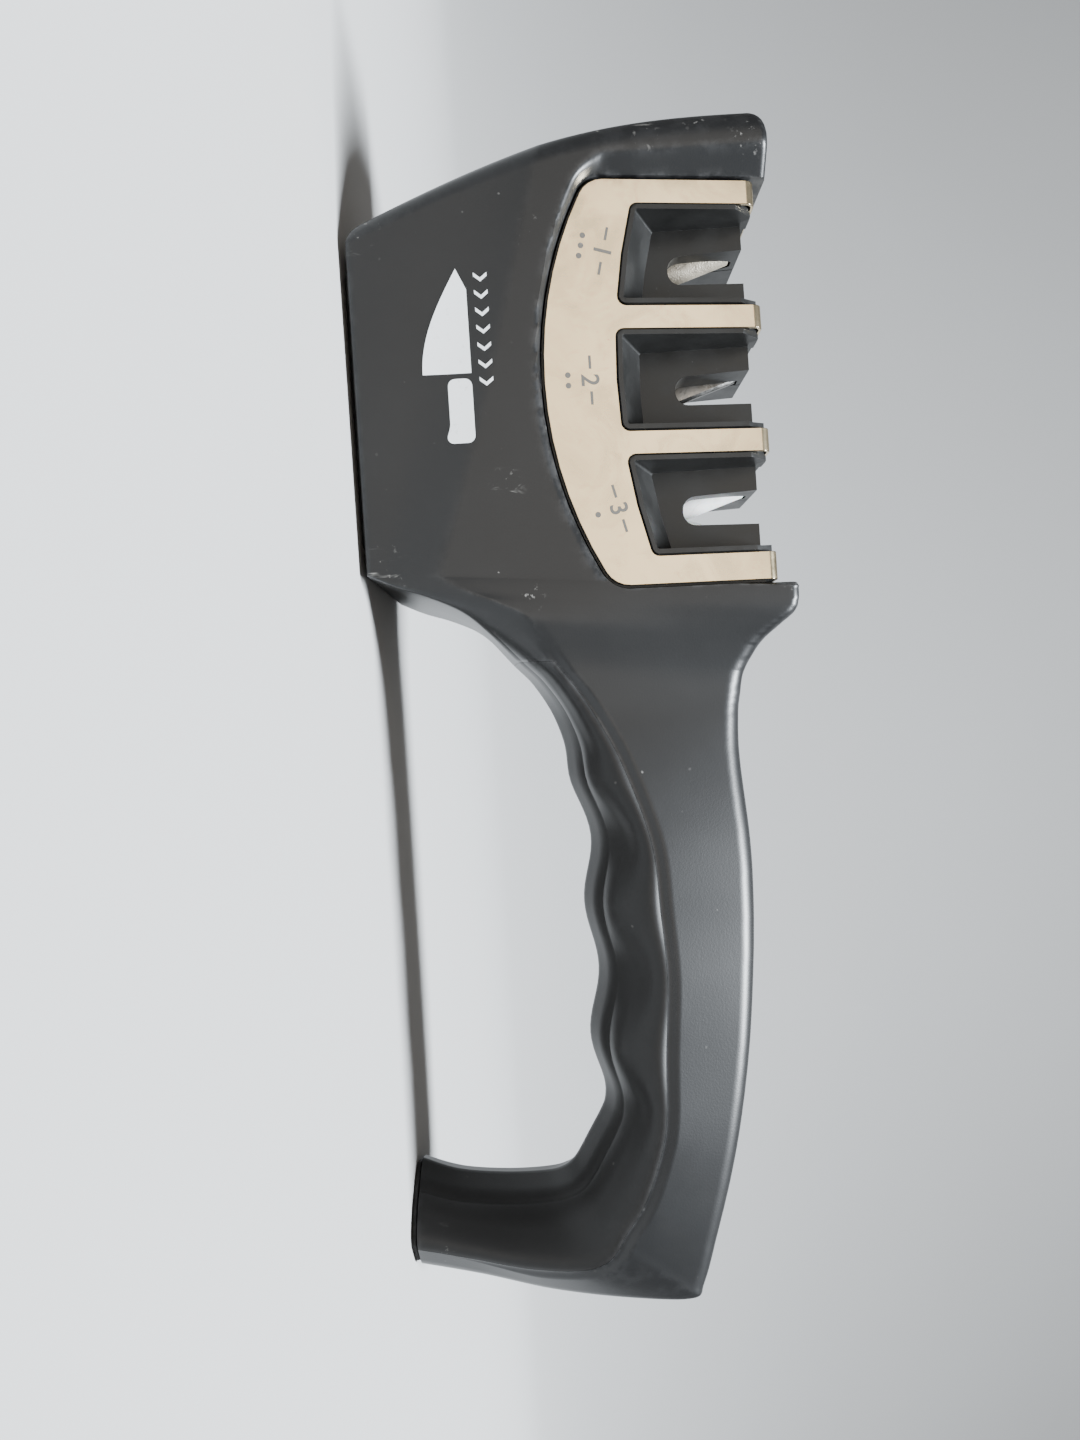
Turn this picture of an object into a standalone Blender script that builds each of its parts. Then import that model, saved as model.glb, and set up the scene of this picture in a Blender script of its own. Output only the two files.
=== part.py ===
"""Hand-held pull-through knife sharpener: three slots, a handle with finger bumps and a foot.

The sharpener stands on the pad under its head and on the pad at the end of its handle. +X runs
from the nose of the head to the handle, +Z is up, and a knife is drawn through a slot along Y.
All sizes are millimetres. While the pieces are made, X is measured from the heel, the lower rear
edge of the head, and Z from the ground. An empty then moves them all, so that the origin lies on
the ground under the middle of the whole sharpener.
"""

import math

import bmesh
import bpy
from mathutils import Vector

MM = 0.001

# Head, measured on the outside
BASE_LENGTH = 61.4
HEAD_TOP = 79.8
NOSE_DROP = 1.4
NOSE_BOW = 5.4
NOSE_THICKNESS = 11.8
NOSE_EDGE_RADIUS = 3.4
BASE_HALF_WIDTH = 25.0
HEEL_HALF_WIDTH = 24.4
NOSE_TOP_HALF_WIDTH = 18.6
SHOULDER_HALF_WIDTH = 14.9
TOP_EDGE_RADIUS = 3.6
BASE_EDGE_RADIUS = 0.8
NOSE_RIDGE = 0.36
CREASE_BELLY = 0.3

# Handle. Each row is one section: where it starts on the finger side, where it ends on the
# spine, and how far along that line the ridge lies. Along X they are shares of HANDLE_REACH,
# along Z shares of HEAD_TOP.
HANDLE_REACH = 138.1
HANDLE_ROWS = (
    # finger side   spine         ridge
    (0.000, 0.015, 0.041, 1.000, 0.060),
    (0.018, 0.080, 0.070, 0.994, 0.062),
    (0.033, 0.150, 0.090, 0.955, 0.075),
    (0.053, 0.217, 0.106, 0.920, 0.105),
    (0.078, 0.263, 0.122, 0.896, 0.115),
    (0.118, 0.321, 0.150, 0.867, 0.148),
    (0.149, 0.368, 0.179, 0.856, 0.165),
    (0.199, 0.415, 0.209, 0.848, 0.192),
    (0.267, 0.446, 0.269, 0.845, 0.262),
    (0.366, 0.470, 0.379, 0.857, 0.345),
    (0.461, 0.471, 0.463, 0.856, 0.370),
    (0.556, 0.469, 0.550, 0.846, 0.400),
    (0.651, 0.465, 0.659, 0.825, 0.390),
    (0.732, 0.471, 0.755, 0.796, 0.385),
    (0.762, 0.461, 0.837, 0.762, 0.380),
    (0.798, 0.426, 0.920, 0.718, 0.380),
    (0.829, 0.390, 0.985, 0.680, 0.345),
    (0.842, 0.353, 1.004, 0.650, 0.385),
    (0.845, 0.301, 0.996, 0.495, 0.530),
    (0.843, 0.207, 0.979, 0.326, 0.580),
    (0.834, 0.100, 0.954, 0.163, 0.590),
    (0.815, 0.015, 0.934, 0.015, 0.620),
)
ROW_STEPS = 2
GRIP_FIRST_ROW = 5
HANDLE_HALF_WIDTH = 18.0
FOOT_HALF_WIDTH = 16.0
SPINE_HALF_WIDTH = 11.6
FOOT_SPINE_HALF_WIDTH = 10.8
KEEL_HALF_WIDTH = 6.5
KEEL_DROP = 2.0
KEEL_RADIUS = 4.0
FLANK_BELLY = 1.2
SPINE_CROWN = 0.9
SPINE_EDGE_RADIUS = 4.0
RIDGE_RADIUS = 1.0
HEEL_BLEND = 28.0
SHOULDER_BLEND = 20.0
FOOT_BLEND = 0.6
FOOT_BLEND_FROM = 0.62
FINGER_BUMP_HEIGHT = 1.1
FINGER_BUMP_SWELL = 0.8
FINGER_BUMP_PITCH = 26.3
FINGER_BUMP_FIRST = 63.6
FINGER_BUMP_START = 30.0
FINGER_BUMP_END = 103.0
FINGER_BUMP_FADE = 12.0

# Walls and clearances. Cutting tools run on BEYOND what they cut.
WALL = 2.5
NOSE_WALL = 3.0
SHELF = 3.2
GAP = 0.3
SEAM = 0.4
GROUND_GAP = 1.2
CHANNEL_BELOW_RIDGE = 2.0
GRIP_EDGE_SET = 0.1
BEYOND = 5.0

# Slot cover: bent sheet with three windows
STAGE_PITCH = 22.9
STAGE_COUNT = 3
WINDOW_WIDTH = 18.6
NOSE_BAR = 4.4
REAR_BAR = 5.2
COVER_REAR = 4.1
COVER_DROP = 3.6
COVER_HEIGHT = 41.3
COVER_ARC_RADIUS = 72.2
COVER_CORNER_RADIUS = 5.0
COVER_TOP_HALF_WIDTH = 14.3
COVER_INSET = 0.4
COVER_SHEET = 0.6
COVER_BEND_RADIUS = 2.0
WINDOW_SILL = 28.1
WINDOW_ARC_RADIUS = 115.0
WINDOW_CORNER_RADIUS = 1.5

# Pocket in the head around the cover
POCKET_GAP = 0.7
CHAMFER = 7.0

# Insert under the cover
INSERT_GROW = 0.4
RIM_WIDTH = 0.85
RIM_PROUD = 0.3
RIM_ABOVE = 0.35
EDGE_CHAMFER = 1.2
BLOCK_HALF = 9.0
BLOCK_DROP = 2.0
RECESS_DRAFT = 0.5
LEDGE_RISE = 3.5
NOTCH_MOUTH = 6.4
NOTCH_WIDTH = 5.3
NOTCH_DEPTH = 14.3

# Sharpening pieces
V_HALF_ANGLE = 18.0
V_ABOVE_NOTCH = 3.1
ROD_RADIUS = 2.5
ROD_LENGTH = 18.0
ROD_BELOW_TOP = 1.4
BLADE_LENGTH = 16.0
BLADE_WIDTH = 6.0
BLADE_THICKNESS = 2.0

# Screws
SCREW_RADIUS = 1.5
HEAD_RADIUS = 2.7
HEAD_HEIGHT = 1.6
BASE_SCREW_LENGTH = 12.0
MOUNT_SCREW_LENGTH = 12.0
MOUNT_SCREW_Y = 6.5
CLAMP_SCREW_RADIUS = 1.25
CLAMP_HEAD_RADIUS = 2.0
CLAMP_SCREW_LENGTH = 22.0
CLAMP_SCREW_DROP = 12.0
DRIVE_WIDTH = 0.9
DRIVE_DEPTH = 0.8
BOSS_RADIUS = 4.0
BOSS_FROM_END = 9.0
BOSS_FROM_SIDE = 7.0

# Base plate and pads
PLATE_THICKNESS = 4.0
PLATE_CORNER_RADIUS = 3.0
PAD_INSET = 2.0
PAD_RECESS = 1.0
FOOT_PAD_INSET = 0.8

# Values that follow
NOSE_TOP = HEAD_TOP - NOSE_DROP
COVER_TOP = HEAD_TOP - COVER_DROP
COVER_BOTTOM = COVER_TOP - COVER_HEIGHT
MIDDLE_SLOT = COVER_REAR - REAR_BAR - WINDOW_WIDTH / 2 - STAGE_PITCH
COVER_FRONT = MIDDLE_SLOT - STAGE_PITCH - WINDOW_WIDTH / 2 - NOSE_BAR
NOSE_TOP_X = COVER_FRONT - NOSE_THICKNESS
SLOTS = [MIDDLE_SLOT + (k - 1) * STAGE_PITCH for k in range(STAGE_COUNT)]
BLOCK_TOP = COVER_TOP - BLOCK_DROP
NOTCH_BOTTOM = BLOCK_TOP - NOTCH_DEPTH
V_POINT = NOTCH_BOTTOM + V_ABOVE_NOTCH
CAVITY_TOP = COVER_BOTTOM - POCKET_GAP - SHELF
PLATE_TOP = GROUND_GAP + PLATE_THICKNESS
PAD_SEAT = GROUND_GAP + PAD_RECESS
SLOPE = math.radians(V_HALF_ANGLE)


def mix(a, b, share):
    """Value between a and b."""
    return a + (b - a) * share


def smooth(share):
    """Ease from 0 to 1, flat at both ends."""
    share = min(max(share, 0.0), 1.0)
    return share * share * (3.0 - 2.0 * share)


# ---------------------------------------------------------------- outlines


def round_corners(corners, segments=4, closed=True):
    """Replace each corner (x, y, radius) of an outline by an arc, also a nearly straight one."""
    points = []
    count = len(corners)
    for k, (x, y, radius) in enumerate(corners):
        here = Vector((x, y))
        ends = not closed and k in (0, count - 1)
        if radius <= 0.0 or ends:
            points.append(here)
            continue
        before = Vector(corners[k - 1][:2]) - here
        after = Vector(corners[(k + 1) % count][:2]) - here
        half = before.angle(after) / 2.0
        reach = max(radius / math.tan(half), radius / 2.0)
        reach = min(reach, 0.46 * before.length, 0.46 * after.length)
        for step in range(segments + 1):
            share = step / segments
            start, end = (1.0 - share) ** 2, share**2
            weight = start + end + 2.0 * share * (1.0 - share) * math.sin(half)
            bend = before.normalized() * start + after.normalized() * end
            points.append(here + bend * (reach / weight))
    return points


def side_half_width(x, z):
    """Half-width of the head's side at a place in its side view."""
    up = (z - GROUND_GAP) / (HEAD_TOP - GROUND_GAP)
    front = mix(BASE_HALF_WIDTH, NOSE_TOP_HALF_WIDTH, up)
    rear = mix(HEEL_HALF_WIDTH, SHOULDER_HALF_WIDTH, up)
    return mix(front, rear, (x - nose_x(z)) / -nose_x(z))


def nose_x(z):
    """Front of the head at a height."""
    up = (z - GROUND_GAP) / (NOSE_TOP - GROUND_GAP)
    return mix(-BASE_LENGTH, NOSE_TOP_X, up) - NOSE_BOW * math.sin(math.pi * min(max(up, 0.0), 1.0))


COVER_BOTTOM_HALF_WIDTH = side_half_width(MIDDLE_SLOT, COVER_BOTTOM) - COVER_INSET
COVER_SLOPE = (COVER_BOTTOM_HALF_WIDTH - COVER_TOP_HALF_WIDTH) / COVER_HEIGHT


def cover_plane(z):
    """Outer face of the cover's side plate at a height."""
    return COVER_TOP_HALF_WIDTH + (COVER_TOP - z) * COVER_SLOPE


def arc_height(x, radius, bottom):
    """Height of an arc, hollow side up, centred over the middle slot."""
    return bottom + radius - math.sqrt(radius**2 - (x - MIDDLE_SLOT) ** 2)


def arc_points(centre, radius, start, end, segments):
    """Points along a circular arc between two angles."""
    points = []
    for step in range(segments + 1):
        angle = mix(start, end, step / segments)
        spoke = Vector((math.cos(angle), math.sin(angle)))
        points.append(centre + spoke * radius)
    return points


def scoop_outline(front, rear, top, grow):
    """Side view of what sits in the pocket: flat top, straight ends and a curved bottom.

    The bottom is an arc, and a small arc at each end turns it up into the straight end.
    """
    front -= grow
    rear += grow
    big = COVER_ARC_RADIUS + grow
    small = COVER_CORNER_RADIUS + grow
    middle = Vector((MIDDLE_SLOT, COVER_BOTTOM + COVER_ARC_RADIUS))
    turns = []
    for x in (front + small, rear - small):
        z = middle.y - math.sqrt((big - small) ** 2 - (x - middle.x) ** 2)
        turns.append((Vector((x, z)), math.atan2(z - middle.y, x - middle.x)))
    (left, left_angle), (right, right_angle) = turns
    outline = [Vector((front, top))]
    outline += arc_points(left, small, -math.pi, left_angle, 4)
    outline += arc_points(middle, big, left_angle, right_angle, 14)[1:-1]
    outline += arc_points(right, small, right_angle, 0.0, 4)
    outline.append(Vector((rear, top)))
    return outline


def window_outline(slot, top, inset, rise=0.0):
    """Side view of a window or recess: open top, rounded lower corners on a shallow arc."""
    left = slot - WINDOW_WIDTH / 2 + inset
    right = slot + WINDOW_WIDTH / 2 - inset
    sill = COVER_TOP - WINDOW_SILL + inset + rise
    radius = max(WINDOW_CORNER_RADIUS - inset, 0.5)
    corners = [
        (left, top, 0.0),
        (left, arc_height(left, WINDOW_ARC_RADIUS, sill), radius),
        (slot, arc_height(slot, WINDOW_ARC_RADIUS, sill), 0.0),
        (right, arc_height(right, WINDOW_ARC_RADIUS, sill), radius),
        (right, top, 0.0),
    ]
    return round_corners(corners)


# ---------------------------------------------------------------- meshes


def material(name, color, roughness, metallic=0.0):
    """Principled material in one colour."""
    made = bpy.data.materials.new(name)
    made.use_nodes = True
    shader = made.node_tree.nodes["Principled BSDF"]
    shader.inputs["Base Color"].default_value = (*color, 1.0)
    shader.inputs["Roughness"].default_value = roughness
    shader.inputs["Metallic"].default_value = metallic
    return made


def add_object(name, bm, finish, angle=35.0):
    """Make an object from a bmesh in millimetres, under the empty that places the model."""
    bmesh.ops.scale(bm, vec=(MM, MM, MM), verts=bm.verts)
    bmesh.ops.recalc_face_normals(bm, faces=bm.faces)
    mesh = bpy.data.meshes.new(name)
    bm.to_mesh(mesh)
    bm.free()
    mesh.shade_smooth()
    mesh.set_sharp_from_angle(angle=math.radians(angle))
    thing = bpy.data.objects.new(name, mesh)
    bpy.context.collection.objects.link(thing)
    thing.parent = PLACE
    if finish is not None:
        mesh.materials.append(finish)
    return thing


def loft_bmesh(rings, strips=False):
    """Skin closed rings of equal count. With strips, the caps join each ring's two halves."""
    bm = bmesh.new()
    rows = [[bm.verts.new(point) for point in ring] for ring in rings]
    count = len(rows[0])
    for low, high in zip(rows, rows[1:]):
        for k in range(count):
            after = (k + 1) % count
            bm.faces.new((low[k], low[after], high[after], high[k]))
    for row in (rows[0], rows[-1]):
        if not strips:
            bm.faces.new(row)
            continue
        half = count // 2
        bm.faces.new((row[0], row[1], row[2], row[-2], row[-1]))
        bm.faces.new((row[half], row[half - 1], row[half - 2], row[half + 2], row[half + 1]))
        for k in range(2, half - 2):
            bm.faces.new((row[k], row[k + 1], row[-k - 1], row[-k]))
    return bm


def loft(name, rings, finish=None, strips=False):
    """Object skinned over rings."""
    return add_object(name, loft_bmesh(rings, strips), finish)


def slab_y(name, outline, y_from, y_to, finish=None):
    """Side outline swept along Y. The ends are numbers, or functions of height."""
    rings = []
    for end in (y_from, y_to):
        depth = end if callable(end) else (lambda z, value=end: value)
        rings.append([Vector((p.x, depth(p.y), p.y)) for p in outline])
    return loft(name, rings, finish)


def slab_z(name, outline, z_from, z_to, finish=None):
    """Plan outline swept along Z."""
    rings = [[Vector((p.x, p.y, z)) for p in outline] for z in (z_from, z_to)]
    return loft(name, rings, finish)


def turned(name, profile, start, axis, finish=None, segments=20):
    """Solid of revolution: profile of (radius, distance along the axis) from start."""
    axis = Vector(axis).normalized()
    turn = Vector((0, 0, 1)).rotation_difference(axis)
    rings = []
    for radius, along in profile:
        ring = []
        for k in range(segments):
            angle = 2.0 * math.pi * k / segments
            spoke = Vector((radius * math.cos(angle), radius * math.sin(angle), along))
            ring.append(Vector(start) + turn @ spoke)
        rings.append(ring)
    return loft(name, rings, finish)


def cut(target, tools, operation="DIFFERENCE"):
    """Apply hidden tools to a piece, all at once, with one exact Boolean."""
    group = bpy.data.collections.new(f"{target.name}_tools")
    bpy.context.scene.collection.children.link(group)
    for tool in tools:
        tool.hide_render = True
        tool.display_type = "WIRE"
        group.objects.link(tool)
    modifier = target.modifiers.new(group.name, "BOOLEAN")
    modifier.operation = operation
    modifier.solver = "EXACT"
    modifier.operand_type = "COLLECTION"
    modifier.collection = group


# ---------------------------------------------------------------- handle and head sections


class Section:
    """One cross-section of the body, from the finger side or base up to the spine or top."""

    def __init__(self, inner, outer, ridge, bow=0.0, inset=0.0):
        self.inner = Vector((inner[0], 0.0, inner[1]))
        self.outer = Vector((outer[0], 0.0, outer[1]))
        self.ridge = ridge
        self.bow = bow
        self.inset = inset
        heel = smooth(inner[0] / HEEL_BLEND)
        shoulder = smooth((outer[0] - HANDLE_ROWS[0][2] * HANDLE_REACH) / SHOULDER_BLEND)
        foot = smooth((FOOT_BLEND_FROM - outer[1] / HEAD_TOP) / FOOT_BLEND)
        foot = foot if inner[0] > HEEL_BLEND else 0.0
        along = min(max(1.0 + inner[0] / BASE_LENGTH, 0.0), 1.0)
        base_half = mix(BASE_HALF_WIDTH, HEEL_HALF_WIDTH, along)
        top_half = mix(NOSE_TOP_HALF_WIDTH, SHOULDER_HALF_WIDTH, along)
        crease = mix(base_half, top_half, ridge) + CREASE_BELLY * smooth(along) * (1.0 - heel)
        self.bottom_half = mix(base_half, KEEL_HALF_WIDTH, heel)
        self.ridge_half = mix(mix(crease, HANDLE_HALF_WIDTH, heel), FOOT_HALF_WIDTH, foot)
        spine_half = mix(SPINE_HALF_WIDTH, FOOT_SPINE_HALF_WIDTH, foot)
        self.top_half = mix(top_half, spine_half, shoulder)
        self.keel = KEEL_DROP * heel
        self.belly = FLANK_BELLY * heel
        self.crown = SPINE_CROWN * shoulder
        self.bottom_radius = mix(BASE_EDGE_RADIUS, KEEL_RADIUS, heel)
        self.top_radius = mix(TOP_EDGE_RADIUS, SPINE_EDGE_RADIUS, shoulder)
        self.bump = finger_bump(inner[0])

    def point(self, along, y):
        """World point at a distance along the section's line and across the body."""
        line = self.outer - self.inner
        share = min(max(along / line.length, 0.0), 1.0)
        place = self.inner + line.normalized() * along
        place.x -= self.bow * math.sin(math.pi * share)
        place.y = y
        return place

    def length(self):
        """Distance from the inner point to the outer point."""
        return (self.outer - self.inner).length

    def ring(self, half):
        """Closed ring from a half outline of (along, y) points that starts and ends at y 0."""
        right = [self.point(p.x, p.y) for p in half]
        left = [self.point(p.x, -p.y) for p in half[-2:0:-1]]
        return right + left

    def flank(self, top):
        """Corners of the finger side from the keel to the ridge, which lies at top."""
        keel = Vector((self.keel - self.bump, self.bottom_half))
        ridge = Vector((top, self.ridge_half))
        across = (ridge - keel).normalized()
        swell = self.belly + FINGER_BUMP_SWELL * self.bump
        belly = (keel + ridge) / 2 + Vector((-across.y, across.x)) * swell
        return [(*keel, self.bottom_radius), (*belly, 0.0)]

    def whole(self):
        """Ring around the whole body."""
        high = self.length() - self.inset
        low = -self.bump + self.inset
        ridge = self.ridge * self.length()
        corners = [(low, 0.0, 0.0)]
        corners += [(a + self.inset, y - self.inset, r) for a, y, r in self.flank(ridge)]
        corners.append((ridge, self.ridge_half - self.inset, RIDGE_RADIUS))
        corners.append((high, self.top_half - self.inset, self.top_radius))
        corners.append((high + self.crown, 0.0, 0.0))
        return self.ring(round_corners(corners, segments=3, closed=False))

    def grip(self):
        """Ring around the finger side, closed by a flat face just under the ridge."""
        ridge = self.ridge * self.length() - SEAM / 2
        corners = [(-self.bump, 0.0, 0.0)]
        corners += self.flank(ridge)
        corners.append((ridge, self.ridge_half - GRIP_EDGE_SET, RIDGE_RADIUS))
        corners.append((ridge, 0.0, 0.0))
        return self.ring(round_corners(corners, segments=3, closed=False))

    def grip_space(self):
        """Ring around all that is cut from the shell to make room for the grip."""
        ridge = self.ridge * self.length() + SEAM / 2
        wide = self.ridge_half + BEYOND
        deep = -self.bump - BEYOND
        return self.ring([Vector(p) for p in ((deep, 0), (deep, wide), (ridge, wide), (ridge, 0))])

    def channel(self):
        """Ring around the hollow inside the handle."""
        low = self.ridge * self.length() - CHANNEL_BELOW_RIDGE
        high = self.length() - WALL
        corners = [
            (low, 0.0, 0.0),
            (low, self.ridge_half - WALL, 0.0),
            (high, self.top_half - WALL, WALL),
            (high, 0.0, 0.0),
        ]
        return self.ring(round_corners(corners, segments=2, closed=False))


def finger_bump(x):
    """How far the finger side stands proud at a place along the handle."""
    fade_in = smooth((x - FINGER_BUMP_START) / FINGER_BUMP_FADE)
    fade_out = smooth((FINGER_BUMP_END + FINGER_BUMP_FADE / 2 - x) / FINGER_BUMP_FADE)
    wave = math.cos(2.0 * math.pi * (x - FINGER_BUMP_FIRST) / FINGER_BUMP_PITCH)
    return FINGER_BUMP_HEIGHT * wave * fade_in * fade_out


def handle_section(place):
    """Section at a place in HANDLE_ROWS, counted in rows and smoothed between them."""
    last = len(HANDLE_ROWS) - 1
    row = min(int(place), last - 1)
    share = place - row
    before = HANDLE_ROWS[max(row - 1, 0)]
    start, end = HANDLE_ROWS[row], HANDLE_ROWS[row + 1]
    after = HANDLE_ROWS[min(row + 2, last)]
    values = []
    for a, b, c, d in zip(before, start, end, after):
        slope_start, slope_end = (c - a) / 2.0, (d - b) / 2.0
        square, cube = share**2, share**3
        value = (2 * cube - 3 * square + 1) * b + (cube - 2 * square + share) * slope_start
        value += (3 * square - 2 * cube) * c + (cube - square) * slope_end
        values.append(value)
    inner = (values[0] * HANDLE_REACH, values[1] * HEAD_TOP)
    outer = (values[2] * HANDLE_REACH, values[3] * HEAD_TOP)
    return Section(inner, outer, values[4])


def handle_sections(first, last):
    """Evenly spaced sections between two places in HANDLE_ROWS."""
    count = round((last - first) * ROW_STEPS)
    return [handle_section(mix(first, last, k / count)) for k in range(count + 1)]


def head_sections():
    """Sections from the rounded nose to the heel."""
    sections = []
    heel = HANDLE_ROWS[0]
    rear_top = heel[2] * HANDLE_REACH
    turns = [math.radians(a) for a in (4, 30, 60, 90)]
    round_off = [(1.0 - math.sin(turn), 1.0 - math.cos(turn)) for turn in turns]
    backs = [(NOSE_EDGE_RADIUS * inset, NOSE_EDGE_RADIUS * back) for inset, back in round_off]
    backs += [(0.0, BASE_LENGTH * share) for share in (0.2, 0.4, 0.6, 0.8)]
    for inset, back in backs:
        share = back / BASE_LENGTH
        inner = (back - BASE_LENGTH, GROUND_GAP)
        outer_x = mix(NOSE_TOP_X, rear_top, share)
        outer = (outer_x, mix(NOSE_TOP, HEAD_TOP, share))
        bow = NOSE_BOW * (1.0 - share)
        sections.append(Section(inner, outer, mix(NOSE_RIDGE, heel[4], share), bow, inset))
    return sections


def body_sections():
    """Sections of the whole body, from the nose to the end of the foot."""
    return head_sections() + handle_sections(0, len(HANDLE_ROWS) - 1)


# ---------------------------------------------------------------- pieces


def cavity_ring(z, clearance=0.0, front_z=None):
    """Plan outline of the hollow under the pocket at a height, its front taken at another."""
    front = nose_x(z if front_z is None else front_z) + NOSE_WALL + clearance
    rear = -NOSE_WALL - clearance
    radius = PLATE_CORNER_RADIUS
    wide = WALL + clearance
    corners = []
    for x, side in ((front, -1), (rear, -1), (rear, 1), (front, 1)):
        half = side_half_width(x, z) - wide
        corners.append((x, side * half, radius))
    return round_corners(corners, segments=3)


def boss_places():
    """Plan positions of the four base screws."""
    front = nose_x(GROUND_GAP) + NOSE_WALL + BOSS_FROM_END
    rear = -NOSE_WALL - BOSS_FROM_END
    side = HEEL_HALF_WIDTH - WALL - BOSS_FROM_SIDE
    return [(front, -side), (front, side), (rear, -side), (rear, side)]


def mount_places():
    """Plan positions of the two screws that hold the insert, one in each half."""
    half = STAGE_PITCH / 2
    return [(MIDDLE_SLOT - half, -MOUNT_SCREW_Y), (MIDDLE_SLOT + half, MOUNT_SCREW_Y)]


def clamp_places():
    """Positions of the two screws that clamp the insert halves together."""
    z = COVER_TOP - CLAMP_SCREW_DROP
    return [(MIDDLE_SLOT - STAGE_PITCH / 2, z), (MIDDLE_SLOT + STAGE_PITCH / 2, z)]


def pocket_tool():
    """Space around the cover and insert, flared outwards beyond the cover's faces."""
    above = COVER_TOP + 2 * BEYOND
    rings = []
    for side, flare in ((-1, CHAMFER), (-1, 0.0), (1, 0.0), (1, CHAMFER)):
        outline = scoop_outline(COVER_FRONT, COVER_REAR, above, POCKET_GAP + flare)
        rings.append([Vector((p.x, side * (cover_plane(p.y) + flare), p.y)) for p in outline])
    return loft("pocket_tool", rings)


def make_shell(finish):
    """Head and upper handle in one moulding."""
    last = len(HANDLE_ROWS) - 1
    shell = loft("body_shell", [s.whole() for s in body_sections()], finish, strips=True)

    beyond = handle_section(last)
    beyond.inner.z -= BEYOND
    beyond.outer.z -= BEYOND
    spaced = handle_sections(GRIP_FIRST_ROW, last) + [beyond]
    inside = [handle_section(GRIP_FIRST_ROW + 0.3)] + spaced[1:]
    tools = [
        loft("grip_space", [s.grip_space() for s in spaced]),
        loft("handle_channel", [s.channel() for s in inside]),
        pocket_tool(),
    ]

    heights = [GROUND_GAP - BEYOND, GROUND_GAP, PLATE_TOP, (PLATE_TOP + CAVITY_TOP) / 2, CAVITY_TOP]
    rings = []
    for z in heights:
        rings.append([Vector((p.x, p.y, z)) for p in cavity_ring(max(z, GROUND_GAP))])
    hollow = loft("head_hollow", rings)
    tools.append(hollow)

    bosses = []
    start = PLATE_TOP + GAP
    thin = SCREW_RADIUS + GAP
    for k, (x, y) in enumerate(boss_places()):
        boss = [(BOSS_RADIUS, 0.0), (BOSS_RADIUS, CAVITY_TOP - start + SHELF / 3)]
        bosses.append(turned(f"boss_{k}", boss, (x, y, start), (0, 0, 1)))
        hole = [(thin, -1.0), (thin, BASE_SCREW_LENGTH)]
        tools.append(turned(f"boss_hole_{k}", hole, (x, y, start), (0, 0, 1), segments=12))
    for k, (x, y) in enumerate(mount_places()):
        hole = [(thin, -1.0), (thin, SHELF + BEYOND)]
        tools.append(turned(f"shelf_hole_{k}", hole, (x, y, CAVITY_TOP), (0, 0, 1), segments=12))
    cut(hollow, bosses)
    cut(shell, tools)
    return shell


def make_grip(finish):
    """Lower handle with the finger bumps, from behind the heel to the foot."""
    last = len(HANDLE_ROWS) - 1
    start = GRIP_FIRST_ROW + 0.1
    sections = [handle_section(start)] + handle_sections(GRIP_FIRST_ROW + 0.5, last)
    return loft("finger_grip", [s.grip() for s in sections], finish, strips=True)


def make_base(plate_finish, pad_finish):
    """Plate that closes the head, and the soft pad under it."""
    outline = cavity_ring(PLATE_TOP, GAP, GROUND_GAP)
    plate = slab_z("base_plate", outline, GROUND_GAP, PLATE_TOP, plate_finish)
    pad_outline = cavity_ring(PLATE_TOP, GAP + PAD_INSET, GROUND_GAP)
    seat_outline = cavity_ring(PLATE_TOP, PAD_INSET, GROUND_GAP)
    tools = [slab_z("pad_seat", seat_outline, GROUND_GAP - BEYOND, PAD_SEAT)]
    for k, (x, y) in enumerate(boss_places()):
        deep = HEAD_HEIGHT + GAP
        wide = HEAD_RADIUS + GAP
        thin = SCREW_RADIUS + GAP
        sink = [(wide, -1.0), (wide, deep), (thin, deep), (thin, PLATE_THICKNESS + BEYOND)]
        tools.append(turned(f"sink_{k}", sink, (x, y, PAD_SEAT), (0, 0, 1)))
    cut(plate, tools)
    pad = slab_z("base_pad", pad_outline, 0.0, PAD_SEAT - GAP, pad_finish)
    return plate, pad


def make_foot_pad(finish):
    """Soft pad under the end of the handle."""
    end = handle_section(len(HANDLE_ROWS) - 1)
    ring = end.whole()
    middle = sum(ring, Vector()) / len(ring)
    across = max(p.y for p in ring)
    shrink_y = (across - FOOT_PAD_INSET) / across
    reach = max(abs(p.x - middle.x) for p in ring)
    shrink_x = (reach - FOOT_PAD_INSET) / reach
    outline = [Vector((middle.x + (p.x - middle.x) * shrink_x, p.y * shrink_y)) for p in ring]
    return slab_z("foot_pad", outline, 0.0, GROUND_GAP - GAP, finish)


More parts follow.
